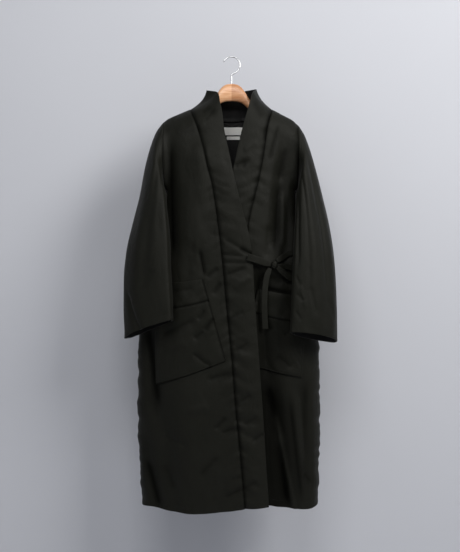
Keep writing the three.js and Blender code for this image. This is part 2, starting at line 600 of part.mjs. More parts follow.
function strap(name, material, path, across, wide, thick, steps) {
  const curve = new THREE.CatmullRomCurve3(path.map((p) => vec(...p)), false, 'centripetal');
  const side = vec(...across).normalize().multiplyScalar(wide / 2);
  const last = (path.length - 1) * steps;
  const rings = count(last + 1).map((k) => {
    const centre = curve.getPoint(k / last);
    const out = curve.getTangent(k / last).cross(side).normalize().multiplyScalar(thick / 2);
    return [[1, 1], [1, -1], [-1, -1], [-1, 1]].map(
      ([a, b]) => centre.clone().addScaledVector(side, a).addScaledVector(out, b));
  });
  return loft(name, material, rings);
}

function knot() {
  const rings = count(KNOT_RINGS + 1).map((i) => {
    const height = -Math.cos((Math.PI * (i + 0.5)) / (KNOT_RINGS + 1));
    const width = Math.sqrt(1 - height * height);
    return count(KNOT_SIDES).map((k) => {
      const angle = (2 * Math.PI * k) / KNOT_SIDES;
      return vec(KNOT.x + KNOT.halfX * width * Math.cos(angle),
        KNOT.y + KNOT.halfY * width * Math.sin(angle), KNOT.z + KNOT.halfZ * height);
    });
  });
  return loft('tie_knot', CLOTH, rings);
}

function label(name, { left, right, top, bottom }) {
  const face = (out) => [top, bottom].map((z) => count(LABEL_COLUMNS + 1).map(
    (k) => offBody(lerp(left, right, k / LABEL_COLUMNS), z, 'back', -WALL - LABEL_SEAT - out)));
  return slab(name, LABEL, face(LABEL_THICK), face(0));
}

function neckLoop() {
  const { left, right, top, sag, wide, thick, points } = NECK_LOOP;
  const path = count(points).map((k) => {
    const s = k / (points - 1);
    const p = offBody(lerp(left, right, s), top - sag * Math.sin(Math.PI * s), 'back',
      -WALL - LABEL_SEAT - thick / 2);
    return p.toArray();
  });
  return strap('neck_loop', CLOTH, path, [0, 0, 1], wide, thick, 2);
}

// Wood: a bell over the neck, then wings along the inside of the shoulders
function hangerWood() {
  const wing = (hand) => count(WING_STEPS + 1).map((k) => {
    const start = HANGER_X + (hand === 'left' ? -WING_START : WING_START);
    const x = lerp(start, WING_TIP[hand], k / WING_STEPS);
    const share = k / WING_STEPS;
    const top = ridgeZ(x) - WALL - HANGER_SEAT - WING.tipDrop * share ** 2;
    return {
      x, top, bottom: top - lerp(WING.deep, WING.tipDeep, share), half: lerp(WING.half, WING.tipHalf, share),
    };
  });
  const bell = (sign) => HANGER.map(({ out, ...rest }) => ({ x: HANGER_X + sign * out, ...rest }));
  const sections = [
    ...wing('left').reverse(), ...bell(-1).reverse(), ...bell(1).slice(1), ...wing('right'),
  ];
  return loft('hanger_wood', WOOD, sections.map(({ x, top, bottom, half }) => count(WOOD_SIDES).map((k) => {
    const angle = (2 * Math.PI * k) / WOOD_SIDES;
    const [c, s] = [Math.cos(angle), Math.sin(angle)];
    return vec(x, half * c, (top + bottom) / 2 + ((top - bottom) / 2) * s);
  })));
}

function hangerHook() {
  const centre = { x: HANGER_X, z: HOOK_WIRE - HOOK_RADIUS };
  const arc = count(HOOK_STEPS + 1).map((k) => {
    const angle = THREE.MathUtils.degToRad(lerp(HOOK_TIP_ANGLE, HOOK_END_ANGLE, k / HOOK_STEPS));
    return vec(centre.x + HOOK_RADIUS * Math.cos(angle), 0, centre.z + HOOK_RADIUS * Math.sin(angle));
  });
  const stem = HOOK_STEM.map((z) => vec(HANGER_X, 0, z));
  const path = new THREE.CatmullRomCurve3([...arc, ...stem], false, 'centripetal');
  const circle = new THREE.Shape().absarc(0, 0, HOOK_WIRE, 0, 2 * Math.PI);
  const geometry = new THREE.ExtrudeGeometry(circle, { steps: 40, curveSegments: 8, extrudePath: path });
  const mesh = new THREE.Mesh(geometry, CHROME);
  mesh.name = 'hanger_hook';
  return mesh;
}

const coat = new THREE.Group();
const frontOver = front('front_over', 'left', 'over', OVER_SEAM);
const frontUnder = front('front_under', 'right', 'under', UNDER_SEAM);
const backPanel = back();
coat.add(frontOver.mesh, frontUnder.mesh, backPanel.mesh);
coat.add(band('band_over', 'left', 'over', OVER_EDGE, frontOver, backPanel));
coat.add(band('band_under', 'right', 'under', UNDER_EDGE, frontUnder, backPanel));
coat.add(sleeve('sleeve_left', 'left'), sleeve('sleeve_right', 'right'));
coat.add(pocket('pocket_left', POCKETS.left, 'over'), pocket('pocket_right', POCKETS.right, 'under'));
for (const [name, { path, across }] of Object.entries(TIES)) {
  coat.add(strap(name, CLOTH, path, across, TIE_WIDE, TIE_THICK, TIE_STEPS));
}
coat.add(knot(), neckLoop());
for (const [name, place] of Object.entries(LABELS)) coat.add(label(name, place));
coat.add(hangerWood(), hangerHook());

export default coat;
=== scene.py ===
"""Looks of a long padded wrap coat on a wooden hanger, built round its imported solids.

Tables and sizes are in millimetres, as the coat was measured, and meshes are in metres.
Left and right are those of someone who looks at the coat's front. The front faces -Y.
"""

import math

import bmesh
import bpy
import numpy as np
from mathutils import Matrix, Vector, noise


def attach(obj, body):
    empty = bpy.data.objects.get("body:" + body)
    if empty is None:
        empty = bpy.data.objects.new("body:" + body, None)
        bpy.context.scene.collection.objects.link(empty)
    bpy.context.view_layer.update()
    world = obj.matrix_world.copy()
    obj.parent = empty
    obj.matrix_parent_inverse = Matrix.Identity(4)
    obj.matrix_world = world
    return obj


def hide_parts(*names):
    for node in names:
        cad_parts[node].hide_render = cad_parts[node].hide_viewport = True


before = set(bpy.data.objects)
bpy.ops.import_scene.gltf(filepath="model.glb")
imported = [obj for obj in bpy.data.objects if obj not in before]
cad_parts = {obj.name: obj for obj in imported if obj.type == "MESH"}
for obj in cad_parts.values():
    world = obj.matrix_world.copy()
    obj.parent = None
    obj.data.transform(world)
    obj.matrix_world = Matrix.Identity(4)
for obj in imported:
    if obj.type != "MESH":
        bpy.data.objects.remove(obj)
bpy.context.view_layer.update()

MM = 0.001


def table(columns, *rows):
    """A short table: the names of its columns, then its rows."""
    return {name: np.array(values, float) for name, values in zip(columns.split(), zip(*rows))}


# Camera at the photograph's height, square to the wall
CAMERA_PLACE = (-7.7, -2410.0, -672.2)
CAMERA_LENS = 51.1
CAMERA_SENSOR = 36.0


def add_camera():
    data = bpy.data.cameras.new("camera")
    data.sensor_fit = "VERTICAL"
    data.sensor_height = CAMERA_SENSOR
    data.lens = CAMERA_LENS
    data.clip_start = 0.05
    camera = bpy.data.objects.new("camera", data)
    camera.location = Vector(CAMERA_PLACE) * MM
    camera.rotation_euler = (math.pi / 2, 0, 0)
    bpy.context.scene.collection.objects.link(camera)
    bpy.context.scene.camera = camera


# Driving sizes of the coat
WALL = 5.0  # shell, thin filling and lining
SHELL = 4.6  # the same wall as drawn here, a little flatter
SEAM_GAP = 0.3
SEAM_LAP = 0.8  # how far the edges of front and back cross at the side and shoulder
SEAM_TUCK = 3.0  # how far the band runs on below the cloth that it is sewn to
CENTRE_X = -8.0
SECTION_POWER = 2.3
SHOULDER_ROUND = 70.0
UNDERARM_Z = -410.0
HEM_Z = -1360.0
ARMHOLE_HALF = 52.0
ARMHOLE_REACH = 9.0
BAND_PUFF = 4.0
OVERLAP_LIFT = 12.0
SKIRT_SHARE = 0.8  # share of a panel's rows that lie below the underarm
BAND_FRONT_SHARE = 0.91  # share of the band's rows up to the shoulder
NECK_STEPS = 5.0
INWARD = {"left": 1, "right": -1}

SHOULDER_X = {"left": -215.0, "right": 202.0}
SHOULDER_Z = {"left": -203.0, "right": -210.0}
UNDERARM_X = {"left": -207.0, "right": 198.0}
NECK_X = {"left": -131.0, "right": 122.0}
NECK_Z = -161.0

# Top line along the shoulders, and as an arch under the collar
RIDGE = table(
    "x z", (-215, -203), (-198, -190), (-162, -174), (-131, -161), (-66, -128), (-8, -114), (60, -128),
    (122, -161), (158, -180), (183, -193), (202, -210))
# Side seams from the hem to the underarm
SIDES = table(
    "z left right", (-1361, -278, 263), (-1208, -286, 266), (-1164, -289, 267), (-1040, -290, 268),
    (-884, -289, 265), (-800, -282, 258), (-700, -260, 242), (-590, -235, 223), (-500, -222, 212),
    (-455, -213, 204), (-425, -208, 199), (-410, -207, 198))
# Half depths of the body at its middle
DEPTHS = table(
    "z front back", (-1380, 84, 76), (-1100, 86, 76), (-850, 85, 74), (-600, 82, 70), (-410, 78, 66),
    (-300, 72, 60), (-210, 62, 53), (-160, 56, 49))
HEM = table(
    "x front back", (-278, -1370, -1368), (-246, -1368, -1362), (-198, -1372, -1358),
    (-127, -1376, -1356), (-43, -1371, -1354), (28, -1364, -1354), (64, -1356, -1354),
    (108, -1357, -1354), (135, -1363, -1354), (195, -1370, -1356), (235, -1374, -1362),
    (263, -1368, -1366))
# Where the band is sewn to each front, and the band's free edge
SEAM = {
    "left": table(
        "z x", (-1360, 37), (-1189, 22), (-1070, 10), (-922, -2), (-773, -17), (-625, -31), (-521, -43),
        (-402, -61), (-343, -76), (-283, -89), (-209, -112), (-161, -131)),
    "right": table(
        "z x", (-1360, -50), (-1000, -8), (-743, 12), (-631, 25), (-565, 40), (-491, 52), (-431, 67),
        (-342, 87), (-223, 106), (-161, 122)),
}
EDGE = {
    "left": table(
        "z x", (-1360, 108), (-1039, 87), (-743, 66), (-631, 60), (-566, 52), (-447, 22), (-358, 1),
        (-299, -11), (-231, -25), (-180, -31), (-150, -38), (-114, -47), (-103, -80)),
    "right": table(
        "z x", (-1360, -121), (-1039, -100), (-743, -80), (-631, -66), (-566, -48), (-450, -20),
        (-357, 1), (-230, 29), (-180, 43), (-148, 53), (-115, 64), (-96, 74)),
}
NECK_FRONT = table(
    "seam_z left right", (-324, -324, -324), (-285, -283, -283), (-247, -236, -234), (-212, -187, -184),
    (-185, -150, -146), (-167, -118, -112), (-161, -103, -96))
EDGE_DEPTH = table("z y", (-283, -71), (-236, -68), (-187, -63), (-150, -56), (-118, -40), (-96, 8))
NECKLINE = table(
    "x z", (-131, -161), (-100, -174), (-60, -184), (-8, -189), (48, -184), (90, -174), (122, -161))
NECK_BACK = {
    "left": table(
        "step x y z", (0, -80, 8, -102), (2, -62, 33, -97), (4, -34, 46, -101), (5, -8, 48, -107)),
    "right": table("step x y z", (0, 74, 8, -96), (2, 50, 33, -95), (4, 20, 46, -100), (5, -8, 48, -107)),
}
PINCH_START_Z = -215.0
PINCH_IN = {"left": 10.0, "right": 7.0}
PINCH_DOWN = 3.0

# Sleeves: o is the outer edge and i the inner edge seen from the front, half is half the thickness
SLEEVES = table(
    "step oy iy half left_ox left_oz left_ix left_iz right_ox right_oz right_ix right_iz",
    (0, 0, 0, 52, -215, -203, -208, -410, 202, -210, 199, -410),
    (1, -1, -22, 53, -234, -230, -203, -416, 219, -236, 196, -416),
    (2, -5, -56, 53, -250, -272, -197, -430, 234, -276, 189, -430),
    (3, -13, -78, 51, -268, -345, -195, -460, 253, -345, 187, -460),
    (4, -27, -94, 47, -282, -430, -190, -508, 273, -430, 184, -508),
    (5, -44, -107, 43, -301, -515, -184, -572, 291, -515, 179, -572),
    (6, -58, -117, 39, -318, -600, -181, -640, 303, -600, 176, -640),
    (7, -64, -123, 37, -325, -685, -176, -705, 309, -685, 172, -705),
    (8, -70, -127, 36, -325, -765, -173, -758, 312, -772, 169, -768),
    (9, -74, -129, 35, -321, -850, -173, -801, 313, -864, 167, -838))
SLEEVE_STEPS = 9.0
CUFF_DROP = {"left": 6.0, "right": 10.0}
CUFF_DROP_START = 0.75
CUFF_SAG = {"left": 9.0, "right": 4.0}  # lower still at the outer back of the cuff
CUFF_SAG_PLACE = 330.0
CUFF_SAG_WIDE = 55.0
CUFF_SAG_START = 0.88
CUFF_PUCKER = 1.6
SLEEVE_HEAD_PUCKER = 2.2
SLEEVE_HEAD_FADE = 0.07

# Large folds of the body, then its finer creases: deep is below 0 in a trough
FOLD_COLUMNS = "x1 z1 x2 z2 wide deep"
FOLDS = {
    "left": table(
        FOLD_COLUMNS, (-198, -235, -178, -650, 17, -15), (-112, -240, -100, -640, 38, 6),
        (-264, -790, -232, -1120, 22, -15), (-268, -1130, -222, -1420, 24, -11),
        (-120, -940, -130, -1460, 80, 9), (-200, -1080, -158, -1440, 26, -7)),
    "right": table(
        FOLD_COLUMNS, (160, -205, 122, -610, 20, -12), (180, -230, 156, -680, 20, -14),
        (122, -970, 175, -1440, 24, -13), (158, -965, 212, -1440, 24, 9),
        (212, -940, 232, -1400, 22, -12), (88, -640, 144, -1560, 34, -9), (236, -880, 244, -1480, 24, 7),
        (146, -290, 134, -660, 30, -7), (60, -688, 200, -688, 26, -9), (72, -600, 106, -1010, 16, -9)),
    "back": table(
        FOLD_COLUMNS, (-130, -220, -95, -740, 34, -12), (112, -220, 80, -720, 34, -11),
        (-60, -260, -70, -900, 50, 7), (-190, -700, -170, -1420, 32, -13),
        (-70, -760, -50, -1440, 34, -11), (60, -690, 75, -1440, 40, -13),
        (180, -740, 168, -1420, 30, -12), (-120, -880, -112, -1440, 36, 9),
        (122, -840, 120, -1440, 34, 9)),
}
CREASES = {
    "left": table(
        FOLD_COLUMNS, (-188, -250, -178, -640, 8, -5), (-130, -371, -127, -601, 24, 4),
        (-111, -555, -104, -645, 8, 1.5), (-100, -590, -84, -678, 6, -6),
        (-120, -600, -118, -672, 9, 1.5), (-78, -680, -42, -646, 7, -4), (-58, -731, -35, -688, 7, -4),
        (-256, -800, -220, -1075, 10, -9), (-272, -870, -258, -1047, 12, 4),
        (-260, -1218, -215, -1375, 10, -8), (-282, -1240, -246, -1372, 10, 4),
        (-206, -1228, -169, -1312, 9, -3), (-212, -1147, -128, -1178, 13, -5),
        (-138, -1075, -66, -1056, 13, 3), (-53, -1128, -18, -1087, 7, -4),
        (-36, -1138, 12, -1119, 7, -4.5), (-100, -1263, -38, -1201, 8, -3.5),
        (-26, -1328, 33, -1299, 8, -4), (-10, -1273, 30, -1266, 6, -3), (-80, -980, 2, -958, 9, -4),
        (-146, -1290, -40, -1230, 30, 3), (-104, -260, -88, -470, 20, 2.5),
        (-60, -560, -42, -500, 8, -2.5)),
    "right": table(
        FOLD_COLUMNS, (142, -208, 108, -336, 7, -4.5), (161, -280, 140, -392, 10, -5),
        (141, -380, 127, -615, 11, -6), (150, -405, 154, -600, 9, 5), (180, -280, 170, -450, 9, 4),
        (203, -255, 186, -535, 10, -6), (108, -515, 104, -630, 18, -5), (97, -970, 113, -1375, 15, -10),
        (122, -1060, 196, -1420, 7, 8), (106, -990, 143, -1170, 10, -5),
        (141, -1150, 168, -1375, 11, -6), (168, -1010, 210, -1372, 9, -6),
        (192, -1010, 216, -1262, 9, 5), (217, -970, 214, -1280, 11, -4), (238, -990, 248, -1370, 10, 4),
        (96, -660, 150, -700, 14, -3), (222, -736, 76, -704, 8, -6), (212, -1262, 240, -1300, 7, -3.5)),
    "back": table(
        FOLD_COLUMNS, (-190, -250, -150, -420, 14, -6), (176, -250, 140, -430, 14, -6),
        (-150, -560, -60, -640, 16, -3.5), (140, -600, 60, -660, 18, -3),
        (-240, -1150, -200, -1330, 13, -6), (214, -1120, 190, -1320, 13, -6),
        (-30, -1120, -10, -1330, 16, -5), (20, -300, 24, -560, 22, 3), (-210, -860, -140, -930, 11, -4),
        (196, -820, 110, -900, 12, -4), (-8, -200, -8, -1340, 5, -2.2)),
}
BAND_CREASES = {
    "left": table(
        FOLD_COLUMNS, (46, -602, -26, -562, 6, -2.8), (16, -590, 74, -616, 5, -6),
        (40, -616, -44, -606, 6, -3), (46, -634, -42, -632, 6, -3), (44, -648, -24, -671, 8, -4),
        (58, -668, 0, -712, 10, 2.5), (-87, -212, -49, -166, 7, -5.5), (-91, -184, -64, -160, 6, -4),
        (-106, -240, -62, -180, 10, 3), (-70, -360, -20, -330, 16, 2), (55, -1164, 96, -1135, 8, -3.5),
        (32, -1115, 75, -1085, 8, -3), (20, -1047, 55, -1019, 8, -3), (30, -1302, 74, -1276, 9, -3),
        (2, -900, 50, -868, 9, -3), (-12, -800, 36, -776, 8, -2.5)),
    "right": table(
        FOLD_COLUMNS, (25, -350, 50, -322, 7, -4), (4, -348, 40, -327, 6, -3.5),
        (118, -176, 96, -272, 8, -5), (76, -270, 30, -300, 9, 2.5), (92, -196, 58, -140, 10, -3.5)),
}
# Creases of a pocket's own cloth
POCKET_CREASES = {
    "left": table(
        FOLD_COLUMNS, (-52, -792, -87, -838, 6, -5), (-82, -833, -116, -861, 8, -4),
        (-80, -770, -103, -803, 5, -3.5), (-104, -800, -219, -849, 10, -3.5),
        (-60, -752, -58, -790, 4, 2.5), (-120, -898, -80, -930, 7, -4), (-86, -925, -60, -941, 7, -4),
        (-210, -892, -130, -868, 14, 2.5), (-196, -724, -110, -708, 9, -2)),
    "right": table(
        FOLD_COLUMNS, (196, -820, 150, -850, 9, -3), (84, -800, 120, -835, 8, -3.5),
        (178, -950, 130, -905, 10, -3)),
}
FOLD_FADE = 0.22
SHARP = 1.3
# Creases of the sleeves: places are degrees round from the outer edge and share of its length
SLEEVE_COLUMNS = "a1 d1 a2 d2 wide deep"
SLEEVE_CREASES = {
    "left": table(
        SLEEVE_COLUMNS, (98, 0.04, 80, 0.9, 18, -3.5), (126, 0.05, 114, 0.6, 18, -3),
        (60, 0.2, 62, 1.2, 24, 2.5), (146, 0.12, 142, 1.2, 18, 3.5), (32, 0.82, 78, 1.04, 9, -6),
        (240, 0.05, 250, 0.9, 18, -6), (285, 0.1, 280, 1.1, 20, 5), (320, 0.2, 310, 1.0, 16, -5),
        (200, 0.3, 214, 1.1, 16, 4), (110, 0.7, 60, 0.83, 10, -2.5)),
    "right": table(
        SLEEVE_COLUMNS, (92, 0.02, 84, 1.1, 26, 6), (108, 0.12, 104, 0.85, 8, -3),
        (64, 0.2, 60, 0.85, 8, -3), (40, 0.12, 40, 1.1, 18, 4), (146, 0.05, 144, 0.75, 12, -6),
        (84, 0.3, 78, 0.75, 5, -1.6), (152, 0.72, 126, 0.79, 6, -2.6), (148, 0.81, 116, 0.86, 6, -2.8),
        (150, 0.9, 122, 0.95, 6, -2.4), (132, 0.76, 112, 0.9, 6, 2), (104, 0.78, 86, 0.93, 7, -2),
        (60, 0.84, 36, 0.95, 8, -2), (240, 0.05, 250, 0.9, 18, -6), (285, 0.1, 280, 1.1, 20, 5),
        (318, 0.2, 308, 1.0, 16, -5), (205, 0.3, 216, 1.1, 16, 4)),
}
DEGREE_WIDE = 1.25  # mm of cloth to a degree round a sleeve
SLEEVE_LONG = 640.0

# How the cloth dips into its seams, gathers along them and swells between them
SEAM_DIP = 1.5
SEAM_DIP_WIDE = 4.5
BAND_DIP = 3.6
BAND_DIP_WIDE = 6.0
PUCKER_REACH = 34.0
PUCKER_PITCH = 19.0
PUCKER_SLANT = 0.5
PUCKER_EVEN = 70.0
PUCKER_DEEP = 2.4
HEM_PUCKER = 1.3
NECK_PUCKER = 1.6
CHEST_PUCKER = {"panel": 0.45, "band": 0.5}  # share of the skirt's puckers that the chest has
CHEST_FADE = (-900.0, -600.0)
SWELL_DEEP = 2.2
SWELL_PITCH = ((52.0, 150.0), (26.0, 70.0))  # across and up, for broad swells and for small ones
BAND_SWELL = 0.7
SCALLOP = 2.4
SCALLOP_PITCH = 21.0
SCALLOP_REACH = 0.35  # share of a panel's width
SCALLOP_FADE = (-900.0, -820.0)
OVERLAP_RISE_X = (-215.0, -150.0)
OVERLAP_FADE_Z = (-320.0, -240.0)
COLLAR_STANDS = (-324.0, -247.0)
COLLAR_CALM = (-260.0, -190.0)
COLLAR_CALM_SHARE = 0.6
BAND_FLAT_SHARE = 0.12  # share of the band's width, beside its seam, over which creases rise
TUCK_POWER = 8
ARMHOLE_SOFT = 1.3

# Painted shade, put into the cloth's colour in its seams, armholes, creases, folds, pocket rims and
# beside the wrapped front: how strong, from 0 to 1, and how wide
PAINTED_SHADE_WIDE = 2.4
SEAM_SHADE = 0.85
ARMHOLE_SHADE = 0.6
FOLD_FULL = 24.0
FOLD_SHARE = 0.4
UNDER_FOLD_SHARE = 0.4  # of that, where the other front's shade lies over it
OVERLAP_SHADE = 0.65
OVERLAP_SHADE_WIDE = 78.0
OVERLAP_SHADE_TOP = (-680.0, -600.0)
# Painted highlight: the under front's crests lose this much painted shade for each mm that they stand up
CREST_LIGHT = 0.09
CREASE_FULL = 6.0
CREASE_SHARE = 0.6
CREASE_NARROW = 12.5
BAND_SEAM_WIDE = 24.0
HEM_LINE_SHADE = 0.75
HEM_LINE_SHADE_WIDE = 3.4
RIM_SHADE = 0.7
RIM_SHADE_WIDE = 2.5
POCKET_OVERLAP_SHADE = (0.35, 0.85)  # on the hem and below it

# Seeds of the noise, one for each use
SWELL_SEED = {"left": 1, "right": 2, "back": 3, "band": 4}
SEAM_SEED = {"left": 7.5, "right": 8.5}
HEM_SEED = 11.5
NECK_SEED = 12.5
SIDE_SEED = {"left": 21.5, "right": 22.5}
SLEEVE_SEED = {"left": 31.5, "right": 32.5}
POCKET_SEED = 41.5
LABEL_SEED = 51.5

POCKETS = {
    "left": {"corners": ((-232, -692), (-88, -681), (-20, -922), (-228, -998)),
             "hem": 0.265, "gape": 1.0},
    "right": {"corners": ((222, -738), (72, -711), (22, -930), (206, -976)),
              "hem": 0.31, "gape": 8.0},
}
POCKET_WALL = 4.0
POCKET_WIDE = 190.0
POCKET_LONG = 290.0
POCKET_SAG = (5.0, 3.0)  # of the mouth and of the foot
POCKET_GAPE_SHARE = 0.2  # share of its length down which the mouth stands open
POCKET_RIM = 12.0
POCKET_EDGE_PUCKER = 1.5
POCKET_HEM_PUCKER = 1.3
POCKET_HEM_GROOVE = 2.2
POCKET_HEM_GROOVE_WIDE = 3.2
POCKET_EDGE_GROOVE = 1.4
POCKET_EDGE_GROOVE_WIDE = 2.4
POCKET_EDGE_STITCH = 5.0
POCKET_SEAT = 0.9
POCKET_BELLY = 2.5

TIE_WIDE = 17.0
TIE_WIDE_FLAT = 21.0  # the part from the band's edge lies pulled flat
TIE_THICK = 3.0
TIE_CORNER = 0.45
TIE_PINCH = 0.72  # share of its width that a strap keeps at the knot
TIE_PINCH_LONG = 16.0
TIE_KNOT_START = ("tie_side", "tie_loop", "tie_end")
TIE_KNOT_END = ("tie_front", "tie_loop")
TIE_CELLS = 900  # to a metre
TIES = {
    "tie_front": {
        "across": (0, 0, 1),
        "path": ((44, -101, -617), (58, -101, -620), (74, -96, -625), (94, -87, -631),
                 (114, -81, -637)),
    },
    "tie_side": {
        "across": (-0.35, 0, 1),
        "path": ((131.7, -78, -628), (150, -66, -616), (165, -59, -606), (182, -56, -601),
                 (196, -50, -598), (208, -39.7, -596)),
    },
    "tie_loop": {
        "across": (0.35, 0, 0.9),
        "path": ((132.9, -81, -646), (149, -77, -660), (164, -73, -673), (178, -68, -680),
                 (187, -62, -671), (184, -61.5, -654), (170, -65.5, -646), (153, -70, -644),
                 (135.3, -76.3, -642.6)),
    },
    "tie_end": {
        "across": (1, 0, 0),
        "path": ((111, -82.5, -649.5), (104, -85, -666), (97, -88.5, -703), (94.5, -91, -745),
                 (95, -91.5, -790), (97, -91.5, -829)),
    },
}
KNOT_PLACE = (124.0, -80.8, -638.0)
KNOT_HALF = (8.8, 7.6, 12.0)
KNOT_FOLDS = 5.2
KNOT_SLANT = 0.55
KNOT_FOLD_DEEP = 0.1
KNOT_CORNER = 0.85

LABELS = {
    "label_neck": {"left": -28, "right": 32, "top": -206, "bottom": -230},
    "label_size": {"left": -18, "right": 23, "top": -234, "bottom": -244.5},
}
LABEL_THICK = 0.8
LABEL_SEAT = 0.5
NECK_LOOP = {"left": -26, "right": 23, "top": -193, "sag": 9, "wide": 5, "thick": 1.6, "points": 9}

HANGER_X = -3.0
HANGER_SEAT = 0.95
HANGER = table(
    "out top bottom half", (0, -81, -135, 10), (16, -83.5, -136, 10.5), (30, -92, -140, 11),
    (42, -108, -149, 12), (56, -131, -163, 13), (80, -151, -183, 14), (110, -164, -200, 14.5),
    (134, -176, -214, 14))
WING_START = 134.0
WING_DEEP = (38.0, 26.0)
WING_HALF = (14.0, 8.0)
WING_DROP = 2.5
WOOD_CORNER = 0.9
WING_TIP = {"left": -202.0, "right": 187.0}
WING_BLEND = 110.0
WING_END = 6.0
HOOK_WIRE = 2.0
HOOK_TIP = 0.012
HOOK_RADIUS = 26.0
HOOK_ARC = (158.0, -72.0)  # degrees from +X, from the tip round to the stem
HOOK_STEM = (-55.0, -62.0, -81.4)


def lerp(a, b, share):
    return a + (b - a) * share


def smoothstep(value, low, high):
    t = np.clip((value - low) / (high - low), 0, 1)
    return t * t * (3 - 2 * t)


def bell(off, wide):
    """1 at off 0 and nearly 0 from twice wide on."""
    return np.exp(-(off / wide) ** 2)


def squared(angle, corner):
    """Cosine and sine of a section's angle; a low corner makes the round section squarer."""
    return [np.sign(w) * np.abs(w) ** corner for w in (np.cos(angle), np.sin(angle))]


def between(rows, by, want, at):
    """Column want of a table at places of column by, on a smooth curve that never overshoots."""
    order = np.argsort(rows[by])
    xs, ys = rows[by][order], rows[want][order]
    slopes = np.diff(ys) / np.diff(xs)
    turns = np.concatenate([slopes[:1], np.zeros(len(xs) - 2), slopes[-1:]])
    product = slopes[:-1] * slopes[1:]
    same = product > 0
    turns[1:-1][same] = 2 * product[same] / (slopes[:-1] + slopes[1:])[same]
    place = np.clip(np.asarray(at, float), xs[0], xs[-1])
    k = np.clip(np.searchsorted(xs, place, side="right") - 1, 0, len(xs) - 2)
    step = xs[k + 1] - xs[k]
    t = (place - xs[k]) / step
    curve = ys[k] * (1 + 2 * t) * (1 - t) ** 2 + ys[k + 1] * t * t * (3 - 2 * t)
    return curve + turns[k] * step * t * (1 - t) ** 2 - turns[k + 1] * step * t * t * (1 - t)


def drift(a, b, seed):
    """Smooth noise, about -0.5 to 0.5, at each pair of places."""
    flat = zip(np.ravel(a), np.ravel(b))
    return np.array([noise.noise((p, q, seed)) for p, q in flat]).reshape(np.shape(a))


def points(x, y, z):
    return np.stack(np.broadcast_arrays(x, y, z), axis=-1).astype(float)


# The body's form; a panel is left, right or back, and the left front wraps over the right one
def seam_x(z, hand):
    return between(SEAM[hand], "z", "x", z)


def edge_x(z, hand):
    return between(EDGE[hand], "z", "x", z)


def hem_z(x, panel):
    return between(HEM, "x", "back" if panel == "back" else "front", x)


def neckline_z(x):
    return between(NECKLINE, "x", "z", x)


def ridge_z(x):
    return between(RIDGE, "x", "z", x)


def side_x(z, hand):
    above = np.clip((z - UNDERARM_Z) / (SHOULDER_Z[hand] - UNDERARM_Z), 0, 1)
    up = lerp(UNDERARM_X[hand], SHOULDER_X[hand], above)
    return np.where(z <= UNDERARM_Z, between(SIDES, "z", hand, z), up)


def armhole_depth(z, hand, reach):
    """Half depth at the armhole's seam, where reach is 1, which dies away smoothly inside it."""
    middle = (UNDERARM_Z + SHOULDER_Z[hand]) / 2
    share = (z - middle) / (SHOULDER_Z[hand] - middle)
    near = reach ** ARMHOLE_REACH
    return ARMHOLE_HALF * near * np.clip(1 - share * share, 0, 1) ** (0.5 + ARMHOLE_SOFT * (1 - near))


def crease_sum(rows, x, z, power=2.0):
    """Height of all the troughs and ridges of a table; a low power makes their bottoms sharp."""
    total = np.zeros(np.shape(x))
    for x1, z1, x2, z2, wide, deep in zip(*rows.values()):
        length = math.hypot(x2 - x1, z2 - z1)
        dx, dz = (x2 - x1) / length, (z2 - z1) / length
        along = ((x - x1) * dx + (z - z1) * dz) / length
        off = (x - x1) * dz - (z - z1) * dx
        fade = smoothstep(along, 0, FOLD_FADE) * (1 - smoothstep(along, 1 - FOLD_FADE, 1))
        total += deep * fade * np.exp(-np.abs(off / wide) ** (power if deep < 0 else 2.0))
    return total


def puckers(off, along, seed, deep=PUCKER_DEEP):
    """Short slanted creases that run out from a seam, at off mm from it."""
    slanted = (along + PUCKER_SLANT * off) / PUCKER_PITCH
    return 2 * deep * drift(slanted, off / PUCKER_EVEN, seed) * np.exp(-np.abs(off) / PUCKER_REACH)


def calm_chest(z, part):
    """How much the cloth gathers: 1 in the skirt, less over the chest."""
    chest = CHEST_PUCKER[part]
    return chest + (1 - chest) * (1 - smoothstep(z, *CHEST_FADE))


def swell(x, z, seed):
    """The slow unevenness of filled cloth that hangs."""
    broad, fine = (drift(x / wide, z / high, seed + 5 * k) for k, (wide, high) in enumerate(SWELL_PITCH))
    return SWELL_DEEP * (broad + 0.5 * fine)


def relief(x, z, panel):
    """Fine form of a body panel, before it fades out at the side and the shoulder."""
    total = crease_sum(CREASES[panel], x, z, SHARP) + swell(x, z, SWELL_SEED[panel])
    hem_off = z - hem_z(x, panel)
    total += puckers(hem_off, x, HEM_SEED, HEM_PUCKER)
    if panel == "back":
        return total + puckers(neckline_z(x) - z, x, NECK_SEED, NECK_PUCKER)
    seam_off = np.abs(x - seam_x(z, panel))
    return total + puckers(seam_off, z, SEAM_SEED[panel]) * calm_chest(z, "panel")


def body_depth(x, z, panel):
    """Distance of a panel's outer face from the plane of the side and shoulder seams."""
    on_left = x < CENTRE_X
    side = np.where(on_left, side_x(z, "left"), side_x(z, "right"))
    reach = np.minimum(1, np.abs((x - CENTRE_X) / (side - CENTRE_X)))
    bulge = (1 - reach ** SECTION_POWER) ** (1 / SECTION_POWER)
    drop = np.clip((ridge_z(x) - z) / SHOULDER_ROUND, 0, 1)
    rounding = np.sqrt(1 - (1 - drop) ** 2)
    middle = between(DEPTHS, "z", "back" if panel == "back" else "front", z) * rounding
    edge = np.where(on_left, armhole_depth(z, "left", reach), armhole_depth(z, "right", reach))
    proud = crease_sum(FOLDS[panel], x, z)
    if panel == "left":
        proud += OVERLAP_LIFT * smoothstep(x, *OVERLAP_RISE_X) * (1 - smoothstep(z, *OVERLAP_FADE_Z))
    proud += relief(x, z, panel)
    return edge + bulge * (middle - edge) + bulge * rounding * proud


def facing(panel):
    return 1 if panel == "back" else -1


def on_body(x, z, panel):
    return points(x, facing(panel) * body_depth(x, z, panel), z)


NORMAL_STEP = 3.0


